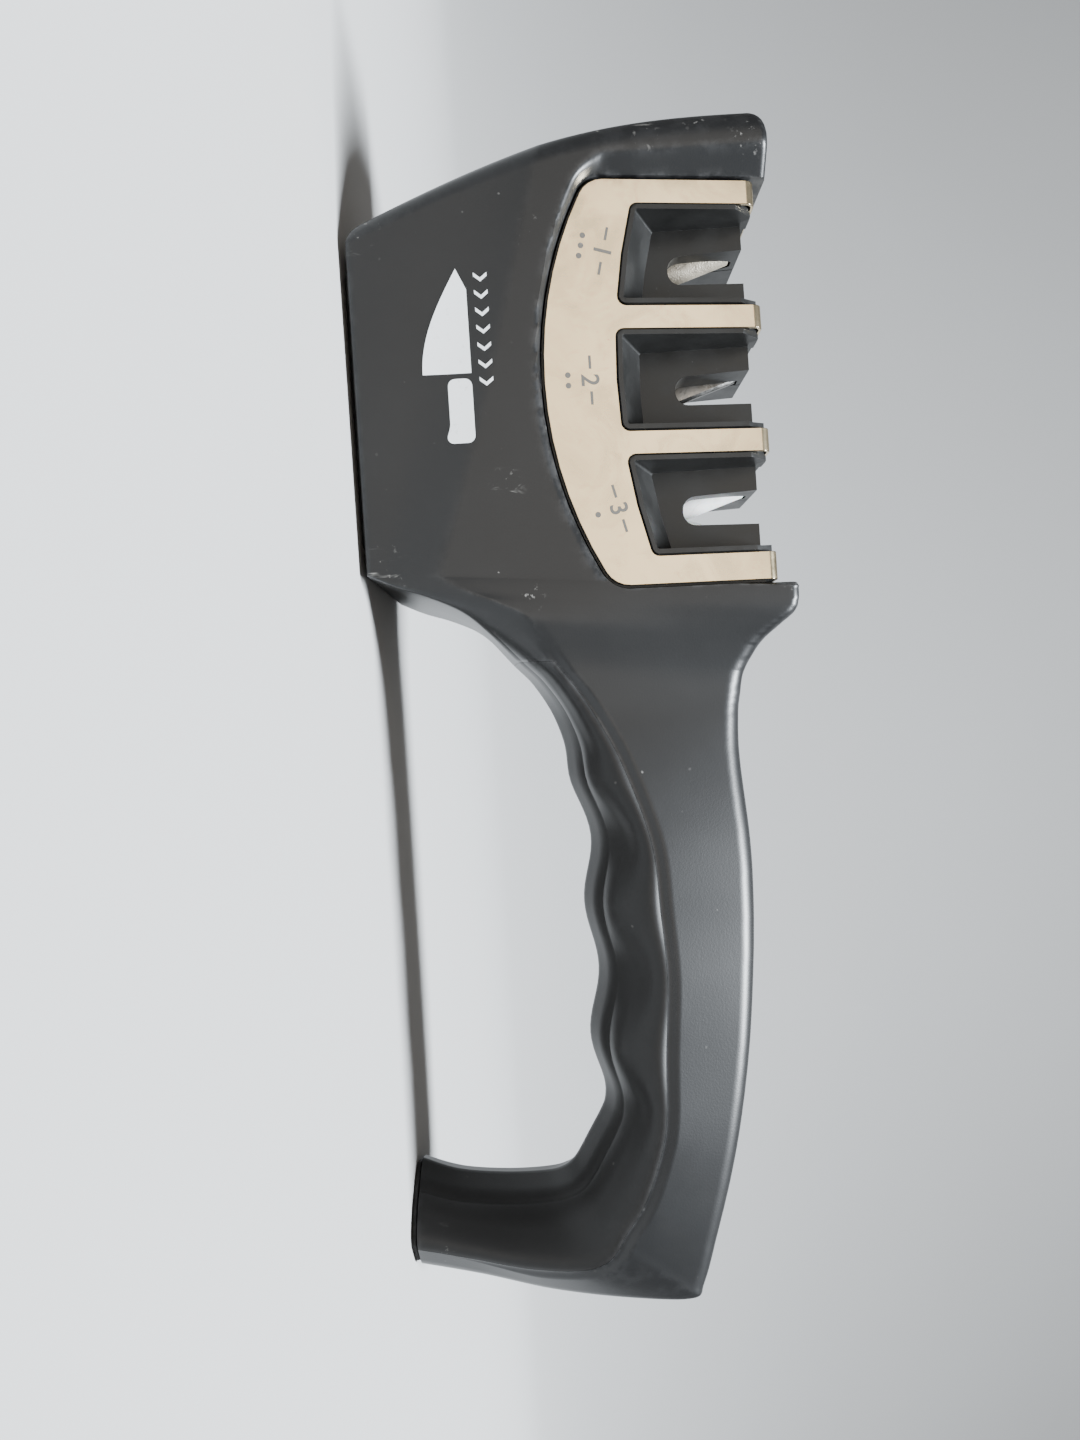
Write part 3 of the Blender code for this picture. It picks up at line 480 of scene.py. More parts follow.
@dataclass(frozen=True)
class ScrewSteel:
    """Plated screw with turning marks."""

    name: str = "plated_screw_steel"
    base: Colour = (0.58, 0.57, 0.55)
    dull: Colour = (0.36, 0.35, 0.33)

    def make(self) -> bpy.types.Material:
        """Build the material.

        Returns:
            The material.
        """
        g = Graph(self.name)
        stains = g.ramp(g.noise(400.0, 3.0), 0.4, 0.7)
        g.set(Base_Color=g.blend(stains, self.base, self.dull), Metallic=1.0,
              Roughness=g.ramp(stains, 0.0, 1.0, 0.28, 0.45))
        g.bump(g.noise(3000.0, 2.0), 0.000008)
        return g.material


@dataclass(frozen=True)
class PrintedInk:
    """Thin print, slightly worn, pale on the body or dark on the steel."""

    name: str
    ink: Colour
    faded: Colour
    roughness: float = 0.5

    def make(self) -> bpy.types.Material:
        """Build the material.

        Returns:
            The material.
        """
        g = Graph(self.name)
        thin = g.ramp(g.noise(520.0, 5.0, 0.7), 0.58, 0.74)
        g.set(Base_Color=g.blend(thin, self.ink, self.faded), Roughness=self.roughness)
        g.bump(g.noise(2400.0, 2.0), 0.000006)
        return g.material


# ---------------------------------------------------------------- mesh tools


def finish_mesh(bm: bmesh.types.BMesh, name: str, material: bpy.types.Material,
                shift: Vector) -> bpy.types.Object:
    """Turn a bmesh in millimetres into an object of the model's frame that rides on its body.

    Args:
        bm: The mesh, in working millimetres; it is freed.
        name: The object's name.
        material: Its finish.
        shift: The working origin's place in the frame, in millimetres.

    Returns:
        The object.
    """
    bmesh.ops.translate(bm, vec=shift, verts=bm.verts)
    bmesh.ops.scale(bm, vec=(MM, MM, MM), verts=bm.verts)
    mesh = bpy.data.meshes.new(name)
    bm.to_mesh(mesh)
    bm.free()
    mesh.shade_smooth()
    mesh.set_sharp_from_angle(angle=SHARP_ANGLE)
    mesh.materials.append(material)
    piece = bpy.data.objects.new(name, mesh)
    bpy.context.scene.collection.objects.link(piece)
    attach(piece, "root")
    return piece


def carve(bm: bmesh.types.BMesh, tools: Sequence[bmesh.types.BMesh]) -> bmesh.types.BMesh:
    """Cut tools out of a solid with one exact Boolean.

    Args:
        bm: The solid; it is freed.
        tools: The solids to cut away; they are freed.

    Returns:
        The cut solid.
    """
    group = bpy.data.collections.new("carving_tools")
    bpy.context.scene.collection.children.link(group)
    made = []
    for k, part in enumerate([bm, *tools]):
        mesh = bpy.data.meshes.new(f"carving_{k}")
        part.to_mesh(mesh)
        part.free()
        thing = bpy.data.objects.new(mesh.name, mesh)
        (group if k else bpy.context.scene.collection).objects.link(thing)
        made.append(thing)
    modifier = made[0].modifiers.new("carve", "BOOLEAN")
    modifier.operation = "DIFFERENCE"
    modifier.solver = "EXACT"
    modifier.operand_type = "COLLECTION"
    modifier.collection = group
    cut_mesh = bpy.data.meshes.new_from_object(made[0].evaluated_get(bpy.context.evaluated_depsgraph_get()))
    result = bmesh.new()
    result.from_mesh(cut_mesh)
    for thing in made:
        bpy.data.objects.remove(thing, do_unlink=True)
    bpy.data.collections.remove(group)
    return result


def prism(outline: Sequence[Point], low: float, high: float, axis: str = "y") -> bmesh.types.BMesh:
    """Solid swept from an outline.

    Args:
        outline: Side view (x, z) or plan (x, y).
        low: Where the sweep starts.
        high: Where it ends.
        axis: "y" for a side view, "z" for a plan.

    Returns:
        The solid.
    """
    bm = bmesh.new()
    side_view = axis == "y"
    corners = [(a, low, b) if side_view else (a, b, low) for a, b in outline]
    face = bm.faces.new([bm.verts.new(corner) for corner in corners])
    grown = bmesh.ops.extrude_face_region(bm, geom=[face])["geom"]
    sweep = Vector((0, high - low, 0)) if side_view else Vector((0, 0, high - low))
    bmesh.ops.translate(bm, vec=sweep, verts=[g for g in grown if isinstance(g, bmesh.types.BMVert)])
    bmesh.ops.recalc_face_normals(bm, faces=bm.faces)
    return bm


def mark_curved_edges(bm: bmesh.types.BMesh) -> None:
    """Store in the attribute "edge" how strongly each vertex stands out, from 0 to 1.

    A turn of FULL_EDGE_TURN radians in a millimetre counts as a full edge.

    Args:
        bm: A closed mesh in millimetres.
    """
    layer = bm.verts.layers.float.new("edge")
    for vert in bm.verts:
        turns = [e.calc_face_angle_signed(0.0) / max(e.calc_length(), 0.2) for e in vert.link_edges]
        vert[layer] = min(max(max(turns, default=0.0) / FULL_EDGE_TURN, 0.0), 1.0)
    for _ in range(2):
        values = {v: v[layer] for v in bm.verts}
        for vert in bm.verts:
            around = [values[e.other_vert(vert)] for e in vert.link_edges]
            vert[layer] = 0.5 * values[vert] + 0.5 * sum(around) / max(len(around), 1)


def worked_copy(node: str, name: str, material: bpy.types.Material,
                edge: float) -> bpy.types.Object:
    """Copy a node of the model, merge its triangles into faces and round its edges.

    Args:
        node: The model's node, which the copy replaces.
        name: The copy's name.
        material: Its finish.
        edge: Width of the rounding, in millimetres.

    Returns:
        The copy.
    """
    bm = bmesh.new()
    bm.from_mesh(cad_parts[node].data)
    bmesh.ops.scale(bm, vec=(1 / MM, 1 / MM, 1 / MM), verts=bm.verts)
    bmesh.ops.remove_doubles(bm, verts=bm.verts, dist=0.001)
    bmesh.ops.dissolve_limit(bm, angle_limit=FLAT_ANGLE, verts=bm.verts, edges=bm.edges)
    layer = bm.faces.layers.float.new("edge")
    crisp = [e for e in bm.edges if len(e.link_faces) == 2 and e.calc_face_angle() > CRISP_ANGLE]
    rounded = bmesh.ops.bevel(bm, geom=crisp, offset=edge, segments=2, clamp_overlap=True, **BEVEL)
    for face in rounded["faces"]:
        face[layer] = 1.0
    bmesh.ops.triangulate(bm, faces=[f for f in bm.faces if len(f.verts) > 4])
    piece = finish_mesh(bm, name, material, Vector())
    weigh = piece.modifiers.new("flat_faces", "WEIGHTED_NORMAL")
    weigh.keep_sharp = True
    weigh.weight = 90
    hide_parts(node)
    return piece


# ---------------------------------------------------------------- forms


def round_corner(before: Vector, corner: Vector, after: Vector, radius: float, steps: int) -> list[Vector]:
    """Arc that replaces a corner of an outline.

    Args:
        before: Point before the corner.
        corner: The corner.
        after: Point after it.
        radius: Radius of the arc.
        steps: Number of steps along it.

    Returns:
        Points of the arc, both ends included.
    """
    back, on = before - corner, after - corner
    half = back.angle(on) / 2.0
    reach = max(radius / math.tan(half), radius / 2.0)
    reach = min(reach, 0.46 * back.length, 0.46 * on.length)
    points = []
    for step in range(steps + 1):
        share = step / steps
        start, end = (1.0 - share) ** 2, share**2
        weight = start + end + 2.0 * share * (1.0 - share) * math.sin(half)
        points.append(corner + (back.normalized() * start + on.normalized() * end) * (reach / weight))
    return points


def rounded_outline(corners: Sequence[Point], radius: float, steps: int) -> list[Point]:
    """Closed outline with every corner rounded.

    Args:
        corners: The corners in order.
        radius: Radius of each.
        steps: Number of steps along each.

    Returns:
        The outline's points.
    """
    ends = [Vector(c) for c in corners]
    points = []
    for k, corner in enumerate(ends):
        arc = round_corner(ends[k - 1], corner, ends[(k + 1) % len(ends)], radius, steps)
        points += [(p.x, p.y) for p in arc]
    return points


def straight(start: Vector, end: Vector, steps: int) -> list[Vector]:
    """Points between two ends, both left out.

    Args:
        start: One end.
        end: The other end.
        steps: Number of steps between them.

    Returns:
        The points.
    """
    return [start.lerp(end, k / steps) for k in range(1, steps)]


@dataclass(frozen=True)
class PocketForm:
    """Space in the head around the cover, and the plane of the cover's side."""

    half_width: float
    top: float
    bottom: float
    front: float
    rear: float
    bottom_half_width: float
    gap: float = 0.7
    arc_radius: float = 72.2
    corner_radius: float = 5.0
    edge_round: float = 0.8
    steeper: float = 2.2
    deepest: float = 1.5
    rear_to_middle: float = 37.4

    @property
    def slope(self) -> float:
        """Widening of the cover for each millimetre down."""
        return (self.bottom_half_width - self.half_width) / (self.top - self.bottom)

    @property
    def middle(self) -> float:
        """Place of the middle slot."""
        return self.rear - self.rear_to_middle

    def plane(self, z: float) -> float:
        """Half-width of the cover's outer face at a height."""
        return self.half_width + (self.top - z) * self.slope

    def outline(self, grow: float, top: float) -> list[Point]:
        """Side view of the pocket, grown on all sides.

        Args:
            grow: Distance outside the cover's own edge.
            top: Height where the open upper end is cut.

        Returns:
            Points from the upper front, round the bottom, to the upper rear.
        """
        big, small = self.arc_radius + grow, self.corner_radius + grow
        centre = Vector((self.middle, self.bottom + self.arc_radius))
        left, right = self.front - grow, self.rear + grow
        ends = []
        for x in (left + small, right - small):
            z = centre.y - math.sqrt((big - small) ** 2 - (x - centre.x) ** 2)
            ends.append((Vector((x, z)), math.atan2(z - centre.y, x - centre.x)))
        (low, low_turn), (high, high_turn) = ends
        points = [(left, top)]
        for middle, radius, start, end, steps in (
            (low, small, -math.pi, low_turn, 10),
            (centre, big, low_turn, high_turn, 48),
            (high, small, high_turn, 0.0, 10),
        ):
            for k in range(steps + 1):
                turn = mix(start, end, k / steps)
                points.append((middle.x + radius * math.cos(turn), middle.y + radius * math.sin(turn)))
        points.append((right, top))
        return [p for k, p in enumerate(points) if k == 0 or math.dist(p, points[k - 1]) > 0.01]

    def rise(self, places: np.ndarray) -> np.ndarray:
        """How far the bevel round the pocket stands above the cover, negative inside the pocket.

        Args:
            places: Side-view places, as an array of (x, z) rows.

        Returns:
            One height for each row.
        """
        edge = np.array(self.outline(self.gap, self.top + 40.0))
        start, run = edge[:-1], np.diff(edge, axis=0)
        away = places[:, None, :] - start[None, :, :]
        share = np.clip((away * run).sum(2) / (run * run).sum(1), 0.0, 1.0)
        gap = np.linalg.norm(away - share[..., None] * run, axis=2)
        nearest = gap.argmin(1)
        rows = np.arange(len(places))
        lying = np.abs(run[nearest, 0]) / np.linalg.norm(run[nearest], axis=1)
        cross = run[nearest, 0] * away[rows, nearest, 1] - run[nearest, 1] * away[rows, nearest, 0]
        return np.where(cross > 0.0, -1.0, 1.0) * gap[rows, nearest] * (1.0 + self.steeper * lying)


@dataclass(frozen=True)
class BodyForm:
    """Outer form of head and handle, as cross-sections from the nose to the end of the foot."""

    pocket: PocketForm
    base_length: float = 61.4
    head_top: float = 79.8
    nose_drop: float = 1.4
    nose_bow: float = 5.4
    nose_thickness: float = 11.8
    nose_edge_radius: float = 3.4
    nose_face_shares: tuple[float, ...] = (0.0, 0.45, 0.8)
    nose_first_turn: float = 6.0
    nose_steps: int = 8
    head_steps: int = 104
    head_crowding: float = 1.12
    nose_ridge: float = 0.36
    nose_crown: float = 0.5
    crease_belly: float = 0.2
    base_half: float = 25.0
    heel_half: float = 24.4
    nose_top_half: float = 18.6
    shoulder_half: float = 14.9
    top_radius: float = 3.6
    base_radius: float = 0.8
    ground_gap: float = 1.2
    reach: float = 138.1
    handle_half: float = 18.0
    foot_half: float = 16.0
    spine_half: float = 11.6
    foot_spine_half: float = 10.8
    keel_half: float = 6.5
    keel_drop: float = 2.0
    keel_radius: float = 4.0
    flank_belly: float = 1.2
    spine_crown: float = 0.9
    spine_radius: float = 7.0
    heel_ease: float = 0.08
    ridge_start: float = 0.45
    ridge_swell: float = 0.6
    ridge_bump: float = 0.40
    ridge_back: float = 1.6
    ridge_pull: float = 0.45
    belly_low: float = 0.85
    heel_blend: float = 28.0
    shoulder_blend: float = 20.0
    neck_blend: float = 9.0
    foot_blend: float = 0.6
    foot_blend_from: float = 0.62
    bump_height: float = 1.1
    bump_pitch: float = 26.3
    bump_first: float = 63.6
    bump_start: float = 30.0
    bump_end: float = 103.0
    bump_fade: float = 12.0
    bump_swell: float = 1.0
    seam: float = 0.05
    groove_depth: float = 0.75
    groove_drop: float = 0.8
    crease_reach: float = 8.0
    groove_rise: float = 2.6
    groove_from: float = 5.0
    groove_blend: float = 20.0
    grip_from: float = 5.0
    rows: tuple[tuple[float, float, float, float, float], ...] = (
        # finger side, spine (shares of the reach and of the head's height), share up to the ridge
        (0.000, 0.015, 0.041, 1.000, 0.060),
        (0.018, 0.080, 0.070, 0.994, 0.062),
        (0.033, 0.150, 0.090, 0.955, 0.075),
        (0.053, 0.217, 0.106, 0.920, 0.105),
        (0.078, 0.263, 0.122, 0.896, 0.115),
        (0.118, 0.321, 0.150, 0.867, 0.148),
        (0.149, 0.368, 0.179, 0.856, 0.165),
        (0.199, 0.415, 0.209, 0.848, 0.192),
        (0.267, 0.446, 0.269, 0.845, 0.262),
        (0.366, 0.470, 0.379, 0.857, 0.345),
        (0.461, 0.471, 0.463, 0.856, 0.370),
        (0.556, 0.469, 0.550, 0.846, 0.400),
        (0.651, 0.465, 0.659, 0.825, 0.390),
        (0.732, 0.471, 0.755, 0.796, 0.385),
        (0.762, 0.461, 0.837, 0.762, 0.380),
        (0.798, 0.426, 0.920, 0.718, 0.380),
        (0.829, 0.390, 0.985, 0.680, 0.345),
        (0.842, 0.353, 1.004, 0.650, 0.385),
        (0.845, 0.301, 0.996, 0.495, 0.530),
        (0.843, 0.207, 0.979, 0.326, 0.580),
        (0.834, 0.100, 0.954, 0.163, 0.590),
        (0.815, 0.015, 0.934, 0.015, 0.620),
    )

    @property
    def last(self) -> int:
        """Number of the last row."""
        return len(self.rows) - 1

    @property
    def nose_top_x(self) -> float:
        """Front of the head's top."""
        return self.pocket.front - self.nose_thickness

    def finger_bump(self, x: float) -> float:
        """Bumps along the finger side.

        Args:
            x: Place along the handle.

        Returns:
            How far the finger side stands proud there, negative between two bumps.
        """
        fade = smooth((x - self.bump_start) / self.bump_fade)
        fade *= smooth((self.bump_end + self.bump_fade / 2 - x) / self.bump_fade)
        return self.bump_height * math.cos(2.0 * math.pi * (x - self.bump_first) / self.bump_pitch) * fade

    def row(self, place: float) -> list[float]:
        """Values of the rows at a place between them, on a smooth curve.

        Args:
            place: Place counted in rows.

        Returns:
            The five values.
        """
        low = min(int(place), self.last - 1)
        share = place - low
        around = [self.rows[min(max(low + k, 0), self.last)] for k in (-1, 0, 1, 2)]
        values = []
        for a, b, c, d in zip(*around):
            square, cube = share**2, share**3
            value = (2 * cube - 3 * square + 1) * b + (cube - 2 * square + share) * (c - a) / 2.0
            values.append(value + (3 * square - 2 * cube) * c + (cube - square) * (d - b) / 2.0)
        return values

    def handle_section(self, place: float) -> "Section":
        """Section of the handle.

        Args:
            place: Place counted in rows.

        Returns:
            The section.
        """
        a, b, c, d, ridge = self.row(place)
        inner = (a * self.reach, b * self.head_top)
        return Section(self, inner, (c * self.reach, d * self.head_top), ridge, place=place)

    def head_sections(self) -> list["Section"]:
        """Sections of the head, from the middle of the nose's front to the heel.

        Returns:
            The sections.
        """
        heel = self.rows[0]
        radius = self.nose_edge_radius
        steps = [(radius, 0.0, narrow) for narrow in self.nose_face_shares]
        for k in range(self.nose_steps + 1):
            turn = math.radians(mix(self.nose_first_turn, 90.0, k / self.nose_steps))
            steps.append((radius * (1.0 - math.sin(turn)), radius * (1.0 - math.cos(turn)), 1.0))
        for k in range(1, self.head_steps):
            share = (k / self.head_steps) ** self.head_crowding
            steps.append((0.0, mix(radius, self.base_length, share), 1.0))
        sections = []
        for inset, back, narrow in steps:
            share = back / self.base_length
            crown = self.nose_crown * (1.0 - narrow * narrow)
            inner = (back - self.base_length - crown, self.ground_gap)
            outer_x = mix(self.nose_top_x, heel[2] * self.reach, share) - crown
            outer = (outer_x, mix(self.head_top - self.nose_drop, self.head_top, share))
            bow = self.nose_bow * (1.0 - share)
            section = Section(self, inner, outer, mix(self.nose_ridge, heel[4], share), bow, inset)
            section.narrow = narrow
            sections.append(section)
        return sections

    def handle_sections(self, start: float, end: float, per_row: int = 8) -> list["Section"]:
        """Evenly spaced sections of the handle.

        Args:
            start: First place, counted in rows.
            end: Last place.
            per_row: Number of sections for each row.

        Returns:
            The sections, both ends included.
        """
        count = max(round((end - start) * per_row), 1)
        return [self.handle_section(mix(start, end, k / count)) for k in range(count + 1)]


class Section:
    """One cross-section of the body, from the finger side or base up to the spine or top."""

    FLANK_STEPS = 20
    RIDGE_STEPS = 16
    UPPER_STEPS = 74
    TOP_STEPS = 12

    def __init__(self, form: BodyForm, inner: Point, outer: Point, ridge: float,
                 bow: float = 0.0, inset: float = 0.0, place: float = -1.0) -> None:
        """Work out the widths of the section.

        Args:
            form: The body's form.
            inner: Side-view place on the base or finger side.
            outer: Side-view place on the top or spine.
            ridge: Share of the way up where the ridge or crease lies.
            bow: How far the section's line bulges to the front.
            inset: How far the outline is drawn in all round.
            place: Its place among the handle's rows.
        """
        f = self.form = form
        self.inner = Vector((inner[0], 0.0, inner[1]))
        self.outer = Vector((outer[0], 0.0, outer[1]))
        self.ridge, self.bow, self.inset, self.place = ridge, bow, inset, place
        self.narrow = 1.0
        heel = smooth(inner[0] / f.heel_blend)
        shoulder = smooth((outer[0] - f.rows[0][2] * f.reach) / f.shoulder_blend)
        foot = smooth((f.foot_blend_from - outer[1] / f.head_top) / f.foot_blend)
        foot = foot if inner[0] > f.heel_blend else 0.0
        short = -inner[0] / f.base_length
        along = 1.0 - min((short + math.hypot(short, f.heel_ease)) / 2.0, 1.0)
        base_half = mix(f.base_half, f.heel_half, along)
        top_half = mix(f.nose_top_half, f.shoulder_half, along)
        crease = mix(base_half, top_half, ridge) + f.crease_belly * smooth(along) * (1.0 - heel)
        self.bottom_half = mix(base_half, f.keel_half, heel)
        self.ridge_half = mix(mix(crease, f.handle_half, heel), f.foot_half, foot)
        self.top_half = mix(top_half, mix(f.spine_half, f.foot_spine_half, foot), shoulder)
        self.keel = f.keel_drop * heel
        self.belly = f.flank_belly * heel
        self.crown = f.spine_crown * shoulder
        self.bottom_radius = mix(f.base_radius, f.keel_radius, heel)
        neck = smooth((outer[0] - f.rows[0][2] * f.reach) / f.neck_blend)
        self.top_radius = mix(f.top_radius, f.spine_radius, neck)
        self.bump = f.finger_bump(inner[0])
        self.length = (self.outer - self.inner).length
        self.groove = f.groove_depth * smooth((inner[0] - f.groove_from) / f.groove_blend)
        self.drop = mix(f.crease_reach, f.groove_drop, smooth(inner[0] / f.groove_blend))

    def point(self, along: float, y: float) -> Vector:
        """Place in space.

        Args:
            along: Distance along the section's line.
            y: Distance across the body.

        Returns:
            The place.
        """
        line = self.outer - self.inner
        share = min(max(along / self.length, 0.0), 1.0)
        place = self.inner + line.normalized() * along
        place.x -= self.bow * math.sin(math.pi * share)
        place.y = y * self.narrow
        return place

    def lower(self) -> list[Vector]:
        """Half outline from the middle of the finger side to the start of the rounded ridge.

        Returns:
            Points along the section's line (X) and across the body (Y).
        """
        low = -self.bump + self.inset
        keel = Vector((low + self.keel, self.bottom_half - self.inset))
        top = Vector((self.ridge * self.length, self.ridge_half - self.inset))
        start = Vector((low, 0.0))
        turn = round_corner(start, keel, top, self.bottom_radius, 8)
        points = [start] + straight(start, turn[0], 6) + turn
        across = (top - turn[-1]).normalized()
        out = Vector((-across.y, across.x)) * (self.belly + self.form.bump_swell * self.bump)
        for k in range(1, self.FLANK_STEPS + 1):
            share = self.form.ridge_start * k / self.FLANK_STEPS
            bulge = math.sin(math.pi * share**self.form.belly_low)
            points.append(turn[-1].lerp(top, share) + out * bulge)
        return points

    def groove_bottom(self) -> Vector:
        """Bottom of the soft groove above the ridge, where the two mouldings meet."""
        high = self.ridge * self.length + self.drop
        return Vector((high, self.ridge_half - self.inset - self.groove))

    def upper(self) -> list[Vector]:
        """Half outline from the bottom of the groove up to the middle of the top.

        Returns:
            Points along the section's line (X) and across the body (Y).
        """
        f = self.form
        high = self.length - self.inset
        wide = self.top_half - self.inset
        start = self.groove_bottom()
        ridge = Vector((start.x, self.ridge_half - self.inset))
        count = self.UPPER_STEPS
        flank = [ridge.lerp(Vector((high, wide)), k / count) for k in range(count + 1)]
        for p in flank:
            p.y -= self.groove * (1.0 - smooth((p.x - start.x) / f.groove_rise))
        if self.place < 0.0:
            self.chamfer(flank)
        top = flank[-1]
        radius = min(self.top_radius, top.y * 0.9)
        last = next(k for k, p in enumerate(flank) if (top - p).length < radius)
        middle = Vector((high + self.crown, 0.0))
        arc = round_corner(flank[max(last, 1)], top, middle, radius, self.TOP_STEPS)
        kept = self.spaced(flank[: max(last, 1) + 1] + arc[:1], count - 6)
        return kept[:-1] + arc + straight(arc[-1], middle, 8) + [middle]

    def chamfer(self, flank: list[Vector]) -> None:
        """Draw the flank in to the bevel that runs around the pocket.

        Args:
            flank: Points of the flank, which are moved.
        """
        pocket = self.form.pocket
        places = [self.point(p.x, p.y) for p in flank]
        away = pocket.rise(np.array([(p.x, p.z) for p in places]))
        for p, place, gap in zip(flank, places, away):
            limit = pocket.plane(place.z) + max(gap, -pocket.deepest)
            p.y = soft_min(p.y, limit, pocket.edge_round)

    @staticmethod
    def spaced(points: Sequence[Vector], count: int) -> list[Vector]:
        """The same outline in equal steps.

        Args:
            points: The outline.
            count: Number of steps.

        Returns:
            Points of the outline, one more than the steps.
        """
        lengths = [0.0]
        for a, b in zip(points, points[1:]):
            lengths.append(lengths[-1] + (b - a).length)
        result = []
        low = 0
        for k in range(count + 1):
            goal = lengths[-1] * k / count
            while low < len(points) - 2 and lengths[low + 1] < goal:
                low += 1
            run = lengths[low + 1] - lengths[low]
            result.append(points[low].lerp(points[low + 1], (goal - lengths[low]) / run if run else 0.0))
        return result

    def closed(self, half: Sequence[Vector]) -> list[Vector]:
        """Closed outline in space.

        Args:
            half: Half outline that starts and ends in the middle.

        Returns:
            The outline, ending on its first point.
        """
        right = [self.point(p.x, p.y) for p in half]
        left = [self.point(p.x, -p.y) for p in half[-2::-1]]
        return right + left

    def ridge_turn(self, lower: Sequence[Vector]) -> list[Vector]:
        """Rounded ridge, from the finger side down into the groove.

        Args:
            lower: The half outline below it.

        Returns:
            Points between the last of the lower outline and the bottom of the groove.
        """
        form = self.form
        grip = self.groove / form.groove_depth
        grown = grip * (form.ridge_swell + form.ridge_bump * self.bump)
        corner = Vector((self.ridge * self.length, self.ridge_half - self.inset))
        high = corner + Vector((-form.ridge_back * grip, grown))
        start, bottom = lower[-1], self.groove_bottom()
        low = start + (start - lower[-2]).normalized() * (high - start).length * form.ridge_pull
        turn = []
        for k in range(1, self.RIDGE_STEPS):
            t = k / self.RIDGE_STEPS
            turn.append(start * (1 - t) ** 3 + low * 3 * t * (1 - t) ** 2
                        + high * 3 * t * t * (1 - t) + bottom * t**3)
        return turn

    def whole(self) -> list[Vector]:
        """Outline of the whole body.

        Returns:
            The outline, ending on its first point.
        """
        lower = self.lower()
        return self.closed(lower + self.ridge_turn(lower) + self.upper())

    def above_ridge(self) -> list[Vector]:
        """Outline of the shell alone, flat where the grip begins.

        Returns:
            The outline, with as many points as the whole.
        """
        lower = self.lower()
        count = len(lower) + len(self.ridge_turn(lower))
        upper = self.upper()
        upper[0].x += self.form.seam / 2
        centre = Vector((upper[0].x, 0.0))
        flat = [centre.lerp(upper[0], k / count) for k in range(count)]
        return self.closed(flat + upper)

    def below_ridge(self) -> list[Vector]:
        """Outline of the finger grip, flat where it meets the shell.

        Returns:
            The outline, ending on its first point.
        """
        lower = self.lower()
        bottom = self.groove_bottom()
        bottom.x -= self.form.seam / 2
        middle = Vector((bottom.x, 0.0))
        half = lower + self.ridge_turn(lower) + [bottom] + straight(bottom, middle, 8) + [middle]
        return self.closed(half)


def skin(rings: Sequence[Sequence[Vector]]) -> bmesh.types.BMesh:
    """Skin closed outlines of equal count, by moving the vertices of a grid onto them.

    Args:
        rings: The outlines, each ending on its own first point.

    Returns:
        A mesh welded along its seam, with its two ends closed.
    """
    across, along = len(rings[0]) - 1, len(rings) - 1
    bm = bmesh.new()
    bmesh.ops.create_grid(bm, x_segments=across, y_segments=along, size=1.0)
    for vert in bm.verts:
        column = round((vert.co.x + 1.0) / 2.0 * across)
        row = round((vert.co.y + 1.0) / 2.0 * along)
        vert.co = rings[row][column]
    bmesh.ops.remove_doubles(bm, verts=bm.verts, dist=0.0005)
    bmesh.ops.holes_fill(bm, edges=[e for e in bm.edges if e.is_boundary], sides=0)
    bmesh.ops.recalc_face_normals(bm, faces=bm.faces)
    return bm


def flat_end(section: Section, ring: Callable[[], list[Vector]]) -> list[Vector]:
    """Outline drawn in to its own middle line, which closes an end flat.

    Args:
        section: The section at the end.
        ring: Its method that gives the outline.

    Returns:
        The flattened outline.
    """
    section.narrow = 0.0
    points = ring()
    section.narrow = 1.0
    return points


# ---------------------------------------------------------------- sub-assemblies


